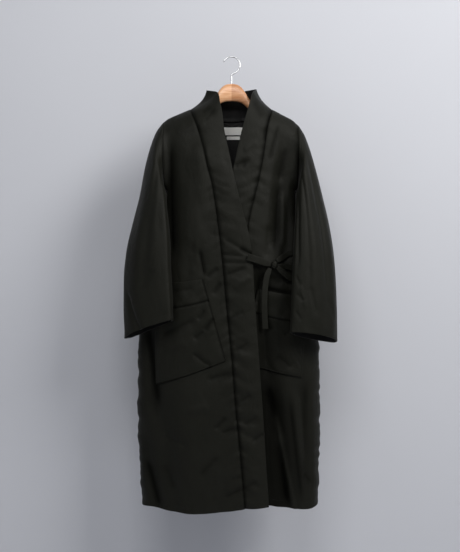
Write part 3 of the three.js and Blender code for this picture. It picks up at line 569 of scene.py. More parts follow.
def off_body(x, z, panel, out):
    """A point of a panel's outer face moved out along its normal, or in where out is below 0."""
    x, z = np.broadcast_arrays(np.asarray(x, float), np.asarray(z, float))
    h = NORMAL_STEP
    slope_x = (body_depth(x + h, z, panel) - body_depth(x - h, z, panel)) / (2 * h)
    slope_z = (body_depth(x, z + h, panel) - body_depth(x, z - h, panel)) / (2 * h)
    normal = points(-slope_x, facing(panel), -slope_z)
    normal /= np.linalg.norm(normal, axis=-1, keepdims=True)
    return on_body(x, z, panel) + normal * np.asarray(out, float)[..., None]


def seam_dip(off, deep=SEAM_DIP, wide=SEAM_DIP_WIDE):
    return deep * bell(off, wide)


def spread(share, turn=0.5):
    """Columns close together at the side, where the section turns, and even from there on."""
    whole = turn * (2 - turn)
    return np.where(share < turn, share * share, 2 * turn * share - turn ** 2) / whole


def armhole_share(t):
    return (1 - np.cos(np.pi * np.clip((t - SKIRT_SHARE) / (1 - SKIRT_SHARE), 0, 1))) / 2


def scallop(share, z, hand):
    """How the side seam, at share 0 across, draws in and out between gathers below the sleeve."""
    wave = SCALLOP * 2 * drift(z / SCALLOP_PITCH, 0 * z, SIDE_SEED[hand])
    return wave * (1 - smoothstep(z, *SCALLOP_FADE)) * (1 - smoothstep(share, 0, SCALLOP_REACH))


def front_line(s, t, hand):
    """Places across and up a front: x, z and the level on its seam, for shares across and up."""
    skirt = np.clip(t / SKIRT_SHARE, 0, 1)
    level = lerp(HEM_Z, UNDERARM_Z, skirt)
    g = spread(s)
    low_x = lerp(side_x(level, hand), seam_x(level, hand), g)
    low_z = lerp(hem_z(low_x, hand), UNDERARM_Z, skirt)
    share = armhole_share(t)
    at_side = side_x(lerp(UNDERARM_Z, SHOULDER_Z[hand], share), hand)
    at_band = seam_x(lerp(UNDERARM_Z, NECK_Z, share), hand)
    top = ridge_z(lerp(SHOULDER_X[hand], NECK_X[hand], g))
    high = t > SKIRT_SHARE
    x = np.where(high, lerp(at_side, at_band, g), low_x)
    z = np.where(high, lerp(UNDERARM_Z, top, share), low_z)
    return x, z, np.where(high, z, level)


def armhole_off(x, z, hand):
    """Distance from the armhole's seam, large below it."""
    return np.abs(x - side_x(z, hand)) + 60 * (z < UNDERARM_Z)


def level_x(x, z, level, hand):
    """The place across at which the side seam of this level stays on the side seam of z."""
    return CENTRE_X + (x - CENTRE_X) * (side_x(z, hand) - CENTRE_X) / (side_x(level, hand) - CENTRE_X)


def place_front(s, t, hand):
    """A front: s from its side seam to the band's seam, t from the hem up."""
    x, z, level = front_line(s, t, hand)
    y = -body_depth(level_x(x, z, level, hand), z, hand)
    y += seam_dip(x - seam_x(z, hand))
    y += seam_dip(armhole_off(x, z, hand)) * (np.abs(y) > 1)
    y = np.where(np.isclose(s, 0) | np.isclose(t, 1), SEAM_LAP, np.minimum(y, -SEAM_GAP / 2))
    return points(x + scallop(s, z, hand), y, z)


def painted_shade_front(s, t, hand):
    """Painted shade of a front's cloth, from 0 to 1: in its seam, armhole, narrow creases and deep folds,
    and on the under front beside the wrapped front's edge, with its crests a little lighter.
    """
    x, z, _ = front_line(s, t, hand)
    seam = SEAM_SHADE * bell(x - seam_x(z, hand), PAINTED_SHADE_WIDE)
    armhole = ARMHOLE_SHADE * bell(armhole_off(x, z, hand), PAINTED_SHADE_WIDE)
    folds = np.clip(-crease_sum(FOLDS[hand], x, z) / FOLD_FULL, 0, 1) * FOLD_SHARE
    if hand == "right":
        crests = np.clip(crease_sum(CREASES[hand], x, z, SHARP), 0, None)
        folds = UNDER_FOLD_SHARE * folds + overlap_shade(x, z) - CREST_LIGHT * crests
    return np.clip(seam + armhole + folds + crease_painted_shade(CREASES[hand], x, z), 0, 1)


def overlap_shade(x, z):
    """Painted shadow that the wrapped front casts on the cloth beside its free edge."""
    beside = bell(x - edge_x(z, "left"), OVERLAP_SHADE_WIDE)
    return OVERLAP_SHADE * beside * (1 - smoothstep(z, *OVERLAP_SHADE_TOP))


def crease_painted_shade(rows, x, z):
    """Painted shade in the narrow creases of a table; the wide ones are soft and have none."""
    narrow = rows["wide"] < CREASE_NARROW
    rows = {name: column[narrow] for name, column in rows.items()}
    return np.clip(-crease_sum(rows, x, z, SHARP) / CREASE_FULL, 0, 1) * CREASE_SHARE


def place_back(s, t):
    """The back: s from the left side to the right one, t from the hem up."""
    k = np.minimum(s, 1 - s) * 2
    low = spread(k)
    skirt = np.clip(t / SKIRT_SHARE, 0, 1)
    level = lerp(HEM_Z, UNDERARM_Z, skirt)
    share = armhole_share(t)
    above = t > SKIRT_SHARE
    halves = []
    for hand in ("left", "right"):
        low_x = lerp(side_x(level, hand), CENTRE_X, low)
        low_z = lerp(hem_z(low_x, "back"), UNDERARM_Z, skirt)
        goal = np.where(k <= 0.5, lerp(SHOULDER_X[hand], NECK_X[hand], k * 2),
                        lerp(NECK_X[hand], CENTRE_X, k * 2 - 1))
        high = (goal - SHOULDER_X[hand]) / (CENTRE_X - SHOULDER_X[hand])
        at_side = side_x(lerp(UNDERARM_Z, SHOULDER_Z[hand], share), hand)
        top = np.where(k <= 0.5, ridge_z(goal), neckline_z(goal))
        x = np.where(above, lerp(at_side, CENTRE_X, lerp(low, high, share)), low_x)
        z = np.where(above, lerp(UNDERARM_Z, top, share), low_z)
        at = np.where(above, x, level_x(x, z, level, hand))
        halves.append((x + scallop(k, z, hand), z, at, seam_dip(armhole_off(x, z, hand))))
    x, z, at, dip = (np.where(s <= 0.5, a, b) for a, b in zip(*halves))
    y = body_depth(at, z, "back")
    y = np.maximum(y - dip * (y > 1), SEAM_GAP / 2)
    sewn = np.isclose(k, 0) | (np.isclose(t, 1) & (k <= 0.5))
    return points(x, np.where(sewn, -SEAM_LAP, y), z)


def place_band(s, v, hand):
    """The band from the hem to the centre back: s from its seam to its edge, v along it."""
    inward = INWARD[hand]
    t = np.clip(v / BAND_FRONT_SHARE, 0, 1)
    step = np.clip((v - BAND_FRONT_SHARE) / (1 - BAND_FRONT_SHARE), 0, 1) * NECK_STEPS
    x, seam_z, level = front_line(np.ones_like(t), t, hand)
    seam = on_body(x, seam_z, hand)
    z = np.where(level > COLLAR_STANDS[0], between(NECK_FRONT, "seam_z", hand, level), level)
    x = edge_x(z, hand)
    skirt = np.clip(t / SKIRT_SHARE, 0, 1)
    flat_z = np.where(t <= SKIRT_SHARE, lerp(hem_z(x, hand), UNDERARM_Z, skirt), z)
    standing = smoothstep(seam_z, *COLLAR_STANDS)[..., None]
    free = lerp(on_body(x, flat_z, hand), points(x, between(EDGE_DEPTH, "z", "y", z), z), standing)
    middle = (seam + free) / 2
    on_form = -body_depth(middle[..., 0], middle[..., 2], hand)
    middle[..., 1] = lerp(on_form, middle[..., 1], standing[..., 0])
    middle[..., 1] -= BAND_PUFF * np.clip((NECK_Z - seam_z) / SHOULDER_ROUND, 0, 1)
    pinch = smoothstep(seam_z, PINCH_START_Z, NECK_Z)

    goal = lerp(NECK_X[hand], CENTRE_X, step / NECK_STEPS)
    neck_seam = on_body(goal, neckline_z(goal), "back")
    neck_free = points(*(between(NECK_BACK[hand], "step", axis, step) for axis in "xyz"))
    neck_middle = (neck_seam + neck_free) / 2
    neck_middle[..., 1] -= BAND_PUFF / 2

    behind = v > BAND_FRONT_SHARE
    seam = np.where(behind[..., None], neck_seam, seam)
    free = np.where(behind[..., None], neck_free, free)
    middle = np.where(behind[..., None], neck_middle, middle)
    pinch = np.where(behind, 1 - smoothstep(step, 0, NECK_STEPS), pinch)
    middle[..., 0] += inward * PINCH_IN[hand] * pinch
    middle[..., 2] -= PINCH_DOWN * pinch

    across = s[..., None]
    place = seam * (1 - across) * (1 - 2 * across) + middle * 4 * across * (1 - across)
    place += free * across * (2 * across - 1)
    wide = np.linalg.norm(free - seam, axis=-1)
    off = s * wide + SEAM_GAP
    toward = (free - seam) / wide[..., None]
    place -= toward * (SEAM_TUCK * (1 - across) ** TUCK_POWER)
    fade = 1 - smoothstep(seam_z, *COLLAR_CALM) * COLLAR_CALM_SHARE
    fine = band_relief(place[..., 0], place[..., 2], hand, off) * smoothstep(s, 0, BAND_FLAT_SHARE)
    place[..., 1] += np.where(behind, -1, 1) * (seam_dip(off, BAND_DIP, BAND_DIP_WIDE) - fine * fade)
    place[..., 0] = np.where(np.isclose(v, 1), CENTRE_X + inward * 2 * SEAM_GAP, place[..., 0])
    return place


def band_relief(x, z, hand, off):
    total = crease_sum(BAND_CREASES[hand], x, z, SHARP)
    total += puckers(off, z, SEAM_SEED[hand]) * calm_chest(z, "band")
    return total + BAND_SWELL * swell(x, z, SWELL_SEED["band"])


# Painted shade of a band: along its seam, and in its narrow creases in front
def painted_shade_band(s, v, hand):
    place = place_band(s, v, hand)
    seam = SEAM_SHADE * bell(s * BAND_SEAM_WIDE, PAINTED_SHADE_WIDE)
    folds = crease_painted_shade(BAND_CREASES[hand], place[..., 0], place[..., 2])
    return np.clip(seam + folds * (v < BAND_FRONT_SHARE), 0, 1)


def place_sleeve(a, d, hand):
    """The sleeve: a is the share of a turn round it from its outer edge, d the share down it."""
    outer, inner = (points(*(between(SLEEVES, "step", key, d * SLEEVE_STEPS)
                             for key in (f"{hand}_{edge}x", f"{edge}y", f"{hand}_{edge}z")))
                    for edge in "oi")
    angle = 2 * np.pi * a
    cos, sin = np.cos(angle), np.sin(angle)
    degrees = 360 * a
    down = d * SLEEVE_LONG
    place = lerp(outer, inner, (1 - cos)[..., None] / 2)
    place[..., 1] -= between(SLEEVES, "step", "half", d * SLEEVE_STEPS) * sin
    place[..., 2] += CUFF_DROP[hand] * smoothstep(d, CUFF_DROP_START, 1) * sin
    off_sag = (degrees - CUFF_SAG_PLACE + 180) % 360 - 180
    place[..., 2] -= CUFF_SAG[hand] * smoothstep(d, CUFF_SAG_START, 1) * bell(off_sag, CUFF_SAG_WIDE)
    out = place - (outer + inner) / 2
    out /= np.linalg.norm(out, axis=-1, keepdims=True)

    seed = SLEEVE_SEED[hand]
    units = (DEGREE_WIDE, SLEEVE_LONG, DEGREE_WIDE, SLEEVE_LONG, 1, 1)
    rows = {name: column * unit for (name, column), unit in zip(SLEEVE_CREASES[hand].items(), units)}
    proud = crease_sum(rows, degrees * DEGREE_WIDE, down)
    proud += SWELL_DEEP * drift(2 * cos + d * 3, 2 * sin + d * 2, seed)
    proud += puckers(SLEEVE_LONG - down, 70 * sin + 30 * cos, seed + 1, CUFF_PUCKER)
    proud += puckers(down, 70 * cos + 20 * sin, seed + 2, SLEEVE_HEAD_PUCKER)
    proud = proud * smoothstep(d, 0, SLEEVE_HEAD_FADE) - seam_dip(down) * smoothstep(d, 0, 0.004)
    place += out * proud[..., None]
    place[..., 0] -= np.where(d == 0, INWARD[hand] * SEAM_GAP, 0)
    return place


def pocket_flat(s, t, hand):
    """Places x, z on the front: s from a pocket's outer to its inner edge, t from its top down."""
    outer_top, inner_top, inner_low, outer_low = np.array(POCKETS[hand]["corners"], float)
    s3, t3 = s[..., None], t[..., None]
    flat = lerp(lerp(outer_top, inner_top, s3), lerp(outer_low, inner_low, s3), t3)
    flat[..., 1] -= lerp(*POCKET_SAG, t) * np.sin(np.pi * s)
    return flat


# Painted shade of a pocket: along its hem's line, round its rim and in its narrow creases, and on the
# right one the painted shadow of the wrapped front
def painted_shade_pocket(s, t, hand):
    x, z = np.moveaxis(pocket_flat(s, t, hand), -1, 0)
    hem = POCKETS[hand]["hem"]
    line = HEM_LINE_SHADE * bell((t - hem) * POCKET_LONG, HEM_LINE_SHADE_WIDE)
    edge = np.minimum((1 - s) * POCKET_WIDE, (1 - t) * POCKET_LONG)
    folds = crease_painted_shade(POCKET_CREASES[hand], x, z)
    if hand == "right":
        folds += overlap_shade(x, z) * lerp(*POCKET_OVERLAP_SHADE, smoothstep(t, hem - 0.02, hem + 0.02))
    return np.clip(line + RIM_SHADE * bell(edge, RIM_SHADE_WIDE) + folds, 0, 1)


def place_pocket(s, t, hand):
    """A pocket that lies on its front, with its hem's groove and its mouth a little open."""
    x, z = np.moveaxis(pocket_flat(s, t, hand), -1, 0)
    hem_off = (t - POCKETS[hand]["hem"]) * POCKET_LONG
    across, down = s * POCKET_WIDE, t * POCKET_LONG
    edge = np.minimum(np.minimum(s, 1 - s) * POCKET_WIDE, (1 - t) * POCKET_LONG)
    out = POCKET_SEAT + POCKET_WALL + POCKET_BELLY * np.sin(np.pi * s) * np.sin(np.pi * (t + 1) / 2)
    out += POCKETS[hand]["gape"] * np.sin(np.pi * s) ** 2 * (1 - smoothstep(t, 0, POCKET_GAPE_SHARE))
    out -= POCKET_HEM_GROOVE * bell(hem_off, POCKET_HEM_GROOVE_WIDE)
    out -= POCKET_EDGE_GROOVE * bell(edge - POCKET_EDGE_STITCH, POCKET_EDGE_GROOVE_WIDE)
    fine = puckers(edge, across + down, POCKET_SEED, POCKET_EDGE_PUCKER)
    fine += puckers(np.abs(hem_off), across, POCKET_SEED + 1, POCKET_HEM_PUCKER)
    fine += crease_sum(POCKET_CREASES[hand], x, z, SHARP)
    out += fine * smoothstep(edge, 0, POCKET_RIM) * smoothstep(t, 0, 0.04)
    return off_body(x, z, hand, out)


def along_path(path, share):
    """Points and directions at shares of a smooth path through given points."""
    path = np.array(path, float)
    knots = np.concatenate([[0], np.cumsum(np.linalg.norm(np.diff(path, axis=0), axis=1))])
    slopes = np.gradient(path, knots, axis=0)
    at = np.asarray(share, float) * knots[-1]
    k = np.clip(np.searchsorted(knots, at, side="right") - 1, 0, len(knots) - 2)
    step = (knots[k + 1] - knots[k])[..., None]
    t = ((at - knots[k]) / (knots[k + 1] - knots[k]))[..., None]
    place = path[k] * (1 + 2 * t) * (1 - t) ** 2 + path[k + 1] * t * t * (3 - 2 * t)
    place += slopes[k] * step * t * (1 - t) ** 2 - slopes[k + 1] * step * t * t * (1 - t)
    way = (path[k + 1] - path[k]) * (6 * t * (1 - t)) / step
    way += slopes[k] * (1 - t) * (1 - 3 * t) + slopes[k + 1] * t * (3 * t - 2)
    return place, way / np.linalg.norm(way, axis=-1, keepdims=True)


def place_strap(a, v, path, across, wide, thick, narrow=None):
    """A flat strap swept along a path: a is the share round its section, v the share along it."""
    centre, way = along_path(path, v)
    side = np.array(across, float) - way * (way @ np.array(across, float))[..., None]
    side /= np.linalg.norm(side, axis=-1, keepdims=True)
    out = np.cross(way, side)
    c, s = squared(2 * np.pi * a, TIE_CORNER)
    slim = 1 if narrow is None else narrow(v)
    return centre + side * (c * slim * wide / 2)[..., None] + out * (s * thick / 2)[..., None]


def mesh_object(name, bm, materials):
    mesh = bpy.data.meshes.new(name)
    bm.to_mesh(mesh)
    bm.free()
    obj = bpy.data.objects.new(name, mesh)
    for material in materials:
        mesh.materials.append(material)
    bpy.context.scene.collection.objects.link(obj)
    return obj


def face_outwards(bm, inside):
    """Turns all the faces over if most of them look towards the point inside."""
    total = sum(f.normal.dot(f.calc_center_median() - inside) * f.calc_area() for f in bm.faces)
    if total < 0:
        bmesh.ops.reverse_faces(bm, faces=bm.faces)


def scale_uv(bm, wide, high):
    """Smooth faces, and a UV map stretched from shares to the flat size in metres."""
    uv = bm.loops.layers.uv.active
    for face in bm.faces:
        face.smooth = True
        for loop in face.loops:
            loop[uv].uv = (loop[uv].uv[0] * wide, loop[uv].uv[1] * high)


def surface(name, cells, place, flat, materials, inside=None, wrapped=False, painted_shade=None):
    """A grid of cells whose points place puts where they belong, with its flat size as its UV map."""
    bm = bmesh.new()
    bm.loops.layers.uv.new("UVMap")
    bmesh.ops.create_grid(bm, x_segments=cells[0], y_segments=cells[1], size=0.5, calc_uvs=True)
    shares = np.clip(np.array([v.co[:2] for v in bm.verts]) + 0.5, 0, 1)
    where = place(shares[:, 0], shares[:, 1]) * MM
    scale_uv(bm, *flat)
    for vert, co in zip(bm.verts, where):
        vert.co = co
    # Painted shade at each point, kept as an attribute by which the cloth's material darkens its colour
    if painted_shade is not None:
        layer = bm.verts.layers.float.new("painted_shade")
        for vert, value in zip(bm.verts, painted_shade(shares[:, 0], shares[:, 1])):
            vert[layer] = value
    if wrapped:
        bmesh.ops.remove_doubles(bm, verts=bm.verts, dist=1e-6)
    bm.normal_update()
    face_outwards(bm, Vector(where.mean(0)) if inside is None else inside)
    return mesh_object(name, bm, materials)


def thicken(obj, thick, bevel):
    """Gives a sheet its wall, inwards from its outer face, and rounds its turned edges."""
    solid = obj.modifiers.new("wall", "SOLIDIFY")
    solid.thickness = thick * MM
    solid.offset = -1
    solid.use_even_offset = False
    solid.material_offset = len(obj.data.materials) - 1
    round_edge = obj.modifiers.new("turned edge", "BEVEL")
    round_edge.width = bevel * MM
    round_edge.segments = 3
    round_edge.limit_method = "ANGLE"
    round_edge.angle_limit = math.radians(50)
    round_edge.harden_normals = False


def close_ends(obj):
    """Fills the open ends of a tube and makes every face point out."""
    bm = bmesh.new()
    bm.from_mesh(obj.data)
    rim = [e for e in bm.edges if e.is_boundary]
    bmesh.ops.holes_fill(bm, edges=rim, sides=0)
    bmesh.ops.recalc_face_normals(bm, faces=bm.faces)
    bm.to_mesh(obj.data)
    bm.free()


def join_stitches(name, lines, material, pitch=4.2, long=3.0, thick=0.55):
    """One mesh of all the stitches on some lines, each a small six-sided bead of thread."""
    bm = bmesh.new()
    for line in lines:
        lengths = np.concatenate([[0], np.cumsum(np.linalg.norm(np.diff(line, axis=0), axis=1))])
        places = np.arange(pitch / 2, lengths[-1], pitch)
        ways = np.gradient(line, lengths, axis=0)
        for at in places:
            centre = Vector([np.interp(at, lengths, line[:, k]) for k in range(3)])
            way = Vector([np.interp(at, lengths, ways[:, k]) for k in range(3)])
            bead = bmesh.ops.create_icosphere(bm, subdivisions=1, radius=0.5)["verts"]
            bmesh.ops.scale(bm, verts=bead, vec=(thick * MM, thick * MM, long * MM))
            turn = way.to_track_quat("Z", "Y").to_matrix()
            bmesh.ops.rotate(bm, verts=bead, cent=(0, 0, 0), matrix=turn)
            bmesh.ops.translate(bm, verts=bead, vec=centre * MM)
    return mesh_object(name, bm, [material])


# Materials
class Nodes:
    """Short hand for a material's or group's node tree."""

    def __init__(self, tree):
        self.tree = tree

    def add(self, kind, inputs=None, **settings):
        node = self.tree.nodes.new(kind)
        for key, value in settings.items():
            setattr(node, key, value)
        for key, value in (inputs or {}).items():
            if isinstance(value, bpy.types.NodeSocket):
                self.tree.links.new(value, node.inputs[key])
            else:
                node.inputs[key].default_value = value
        return node

    def math(self, operation, a, b=0.0, clamp=False):
        node = self.add("ShaderNodeMath", {0: a, 1: b}, operation=operation, use_clamp=clamp)
        return node.outputs[0]

    def plus(self, a, b, clamp=False):
        return self.math("ADD", a, b, clamp)

    def minus(self, a, b):
        return self.math("SUBTRACT", a, b)

    def times(self, a, b):
        return self.math("MULTIPLY", a, b)

    def mix(self, share, a, b, blend="MIX"):
        node = self.add("ShaderNodeMix", {0: share, 6: a, 7: b}, data_type="RGBA", blend_type=blend)
        return node.outputs[2]

    def noise(self, place, scale, detail, **more):
        inputs = {"Vector": place, "Scale": scale, "Detail": detail, **more}
        return self.add("ShaderNodeTexNoise", inputs).outputs[0]

    def stretch(self, place, scale, turn=(0, 0, 0)):
        inputs = {"Vector": place, "Rotation": turn, "Scale": scale}
        return self.add("ShaderNodeMapping", inputs).outputs[0]

    def bump(self, height, strength, distance, **more):
        inputs = {"Height": height, "Strength": strength, "Distance": distance, **more}
        return self.add("ShaderNodeBump", inputs).outputs[0]

    def place(self):
        return self.add("ShaderNodeTexCoord").outputs["Object"]

    def group(self, tree, **inputs):
        return self.add("ShaderNodeGroup", inputs, node_tree=tree).outputs

    def link(self, source, target):
        self.tree.links.new(source, target)

    def shade(self, inputs):
        """The surface's shader, on the material's output."""
        shader = self.add("ShaderNodeBsdfPrincipled", inputs).outputs[0]
        return shader, self.add("ShaderNodeOutputMaterial", {"Surface": shader})


def new_group(name, inputs, outputs):
    """An empty node group with its sockets: its nodes, what comes in and what goes out."""
    group = bpy.data.node_groups.new(name, "ShaderNodeTree")
    for way, sockets in (("INPUT", inputs), ("OUTPUT", outputs)):
        for socket, kind in sockets.items():
            group.interface.new_socket(socket, in_out=way, socket_type="NodeSocket" + kind)
    n = Nodes(group)
    return n, n.add("NodeGroupInput").outputs, n.add("NodeGroupOutput").inputs


def weave_group():
    """Plain weave: threads that pass over and under each other, uneven in height and shade."""
    n, start, end = new_group("weave", {"Cloth": "Vector", "Threads": "Float", "Slub": "Float"},
                              {"Height": "Float", "Shade": "Float"})
    split = n.add("ShaderNodeSeparateXYZ", {0: start["Cloth"]})
    turn = n.times(start["Threads"], math.pi)
    warp, weft = (n.math("SINE", n.times(split.outputs[k], turn)) for k in (0, 1))
    cross = n.times(warp, weft)
    slub = n.noise(n.stretch(start["Cloth"], (900, 40, 1)), 1.0, 2.0)
    uneven = n.times(n.minus(slub, 0.5), start["Slub"])
    n.link(n.plus(n.times(cross, 0.5), uneven), end["Height"])
    n.link(n.plus(n.times(cross, 0.15), n.plus(uneven, 0.5)), end["Shade"])
    return n.tree


def fading_group():
    """Slow uneven fading of a surface: a value about 0.5 that wanders over the piece."""
    n, start, end = new_group("fading", {"Place": "Vector", "Scale": "Float"}, {"Value": "Float"})
    n.link(n.noise(start["Place"], start["Scale"], 4.0, Roughness=0.6), end["Value"])
    return n.tree


def crumple_group():
    """Height of the small soft crumples that worn cloth has between its folds."""
    n, start, end = new_group("crumples", {"Place": "Vector"}, {"Height": "Float"})
    large = n.noise(n.stretch(start["Place"], (1, 1, 0.55)), 30.0, 2.5, Roughness=0.45, Distortion=0.4)
    folded = n.math("ABSOLUTE", n.minus(large, 0.5))
    n.link(n.times(folded, 2.0), end["Height"])
    return n.tree


WEAVE = weave_group()
CRUMPLES = crumple_group()
FADING = fading_group()


def new_material(name):
    material = bpy.data.materials.new(name)
    material.use_nodes = True
    material.node_tree.nodes.clear()
    return material, Nodes(material.node_tree)


# How far the painted shade darkens the cloth's colour, specular and sheen
PAINTED_SHADE_DARK = 0.85
CLOTH_SPECULAR = 0.14
WEAVE_HEIGHT = 0.0002
CRUMPLE_HEIGHT = 0.002


def cloth_material(name, dark, light, rough, sheen, threads, bump, slub=0.5, crumple=0.0):
    """Woven cloth on the piece's own UV map, in metres, with painted shade: its colour, specular and
    sheen are darker by the piece's painted shade value.
    """
    material, n = new_material(name)
    flat = n.add("ShaderNodeUVMap", uv_map="UVMap").outputs[0]
    place = n.place()
    weave = n.group(WEAVE, Cloth=flat, Threads=threads, Slub=slub)
    fade = n.group(FADING, Place=place, Scale=9.0)["Value"]
    tone = n.plus(n.times(weave["Shade"], 0.45), n.times(fade, 0.55), True)
    painted_shade = n.add("ShaderNodeAttribute", attribute_name="painted_shade").outputs["Fac"]
    unshaded_share = n.minus(1.0, n.times(painted_shade, PAINTED_SHADE_DARK))
    colour = {0: n.mix(tone, dark, light), "Scale": unshaded_share}
    large = n.bump(n.group(CRUMPLES, Place=place)["Height"], crumple, CRUMPLE_HEIGHT)
    n.shade({
        "Base Color": n.add("ShaderNodeVectorMath", colour, operation="SCALE").outputs[0],
        "Roughness": n.plus(n.times(n.minus(fade, 0.5), 0.25), rough),
        "Normal": n.bump(weave["Height"], bump, WEAVE_HEIGHT, Normal=large),
        "Specular IOR Level": n.times(unshaded_share, CLOTH_SPECULAR),
        "Sheen Weight": n.times(unshaded_share, sheen),
        "Sheen Roughness": 0.45})
    return material


def wood_material():
    """Beech under clear satin lacquer, with its right half painted darker as shade, where that half turns
    away from the light.
    """
    material, n = new_material("beech")
    place = n.place()
    across = n.add("ShaderNodeSeparateXYZ", {0: place}).outputs[0]
    # The right half, which gets painted shade
    right = n.math("GREATER_THAN", across, HANGER_X * MM)
    along = n.stretch(place, (14, 90, 150), (0, 0.35, 0))
    grain = n.noise(along, 1.0, 6.0, Roughness=0.55, Distortion=0.6)
    flecks = n.noise(along, 7.0, 2.0, Roughness=0.5)
    lines = n.add("ShaderNodeValToRGB", {0: grain})
    ramp = ((0.34, (0.74, 0.38, 0.19, 1)), (0.66, (0.95, 0.58, 0.34, 1)))
    for stop, (position, colour) in zip(lines.color_ramp.elements, ramp):
        stop.position = position
        stop.color = colour
    halves = n.mix(n.times(right, 0.62), lines.outputs[0], (0.6, 0.46, 0.36, 1), "MULTIPLY")
    n.shade({
        "Base Color": n.mix(n.times(flecks, 0.35), halves, (0.7, 0.55, 0.45, 1), "MULTIPLY"),
        "Roughness": n.plus(n.times(grain, 0.2), 0.28),
        "Normal": n.bump(grain, 0.12, 0.0004),
        "Coat Weight": 0.35,
        "Coat Roughness": 0.25})
    return material


def chrome_material():
    """Bright wire with fine rubbed marks."""
    material, n = new_material("chrome_wire")
    rubs = n.noise(n.place(), 420.0, 3.0)
    n.shade({
        "Base Color": n.mix(rubs, (0.62, 0.63, 0.65, 1), (0.78, 0.79, 0.8, 1)),
        "Roughness": n.plus(n.times(rubs, 0.16), 0.06),
        "Metallic": 1.0})
    return material


def backdrop_material(name, colour, one_sided):
    """Plain painted wall or floor; the wall lets light and sight through from behind."""
    material, n = new_material(name)
    fade = n.group(FADING, Place=n.place(), Scale=1.3)["Value"]
    dull = [c * 0.95 for c in colour[:3]] + [1]
    shader, out = n.shade({"Base Color": n.mix(fade, dull, colour), "Roughness": 0.9})
    if one_sided:
        behind = n.add("ShaderNodeNewGeometry").outputs["Backfacing"]
        clear = n.add("ShaderNodeBsdfTransparent").outputs[0]
        pick = n.add("ShaderNodeMixShader", {0: behind, 1: shader, 2: clear})
        n.link(pick.outputs[0], out.inputs["Surface"])
    return material


SHELL_CLOTH = cloth_material(
    "shell_cloth", dark=(0.0050, 0.0051, 0.0035, 1), light=(0.0102, 0.0106, 0.0071, 1),
    rough=0.56, sheen=0.03, threads=2200, bump=0.35, slub=0.5, crumple=0.6)
LINING = cloth_material(
    "lining", dark=(0.005, 0.005, 0.0052, 1), light=(0.010, 0.010, 0.0102, 1),
    rough=0.42, sheen=0.04, threads=3000, bump=0.15, slub=0.3, crumple=0.3)
LABEL_CLOTH = cloth_material(
    "label_satin", dark=(0.8, 0.8, 0.78, 1), light=(0.9, 0.9, 0.88, 1),
    rough=0.4, sheen=0.1, threads=2600, bump=0.25, slub=0.3)
THREAD = cloth_material(
    "thread", dark=(0.006, 0.006, 0.0055, 1), light=(0.011, 0.011, 0.010, 1),
    rough=0.5, sheen=0.08, threads=4000, bump=0.2, slub=0.2)
BEECH = wood_material()
CHROME = chrome_material()


# Pieces: cells across and up, the flat cut in metres and its area in square metres
CUTS = {
    "front_over": ((84, 300), (0.36, 1.22), 0.337),
    "front_under": ((84, 300), (0.34, 1.21), 0.315),
    "back": ((144, 300), (0.64, 1.19), 0.67),
    "band_over": ((26, 340), (0.098, 1.4), 0.122),
    "band_under": ((26, 340), (0.098, 1.4), 0.129),
    "sleeve": ((120, 160), (0.42, 0.62), 0.188),
    "pocket": ((56, 80), (0.2, 0.29), 0.05),
}
BODY_INSIDE = Vector((CENTRE_X, 0, -700)) * MM


def finish_piece(obj, slot, *nodes):
    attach(obj, "root")
    if nodes:
        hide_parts(*nodes)


def cloth_piece(node, cut, place, hands=(), painted_shade=None, thick=SHELL, bevel=1.5,
                inside=BODY_INSIDE, wrapped=False):
    cells, flat, area = CUTS[cut]
    shade = None if painted_shade is None else lambda s, t: painted_shade(s, t, *hands)
    obj = surface("coat_" + node, cells, lambda s, t: place(s, t, *hands), flat,
                  [SHELL_CLOTH, LINING], inside, wrapped, shade)
    thicken(obj, thick, bevel)
    finish_piece(obj, "cloth", node)


def add_body():
    wraps = (("left", "over"), ("right", "under"))
    for hand, wrap in wraps:
        cloth_piece(f"front_{wrap}", f"front_{wrap}", place_front, [hand], painted_shade_front)
    cloth_piece("back", "back", place_back)
    for hand, wrap in wraps:
        cloth_piece(f"band_{wrap}", f"band_{wrap}", place_band, [hand], painted_shade_band)
    for hand, _ in wraps:
        cloth_piece(f"sleeve_{hand}", "sleeve", place_sleeve, [hand], inside=None, wrapped=True)
        cloth_piece(f"pocket_{hand}", "pocket", place_pocket, [hand], painted_shade_pocket,
                    thick=POCKET_WALL, bevel=1.2)


def add_ties():
    for name, spec in TIES.items():
        wide = TIE_WIDE_FLAT if name == "tie_front" else TIE_WIDE
        length = np.linalg.norm(np.diff(np.array(spec["path"], float), axis=0), axis=1).sum() * MM

        def near_knot(v):
            start = smoothstep(v * length / MM, 0, TIE_PINCH_LONG) if name in TIE_KNOT_START else 1
            end = smoothstep((1 - v) * length / MM, 0, TIE_PINCH_LONG) if name in TIE_KNOT_END else 1
            return lerp(TIE_PINCH, 1, start * end)

        def place(a, v):
            return place_strap(a, v, spec["path"], spec["across"], wide, TIE_THICK, near_knot)

        cells = (24, max(24, int(length * TIE_CELLS)))
        obj = surface(name + "_strap", cells, place, (2 * wide * MM, length), [SHELL_CLOTH], wrapped=True)
        close_ends(obj)
        finish_piece(obj, "cloth", name)


def add_knot():
    """The knot: a cushion of wrapped strap with slanting folds."""
    bm = bmesh.new()
    bm.loops.layers.uv.new("UVMap")
    bmesh.ops.create_uvsphere(bm, u_segments=48, v_segments=32, radius=1.0, calc_uvs=True)
    for vert in bm.verts:
        x, y, z = vert.co
        fold = math.sin(KNOT_FOLDS * (z + KNOT_SLANT * x)) ** 2
        size = 1 - KNOT_FOLD_DEEP + KNOT_FOLD_DEEP * fold
        flat = [math.copysign(abs(c) ** KNOT_CORNER, c) * size for c in (x, y, z)]
        vert.co = Vector([c * half + place for c, half, place in zip(flat, KNOT_HALF, KNOT_PLACE)]) * MM
    scale_uv(bm, 0.06, 0.03)
    knot = mesh_object("tie_knot_wrap", bm, [SHELL_CLOTH])
    finish_piece(knot, "cloth", "tie_knot")


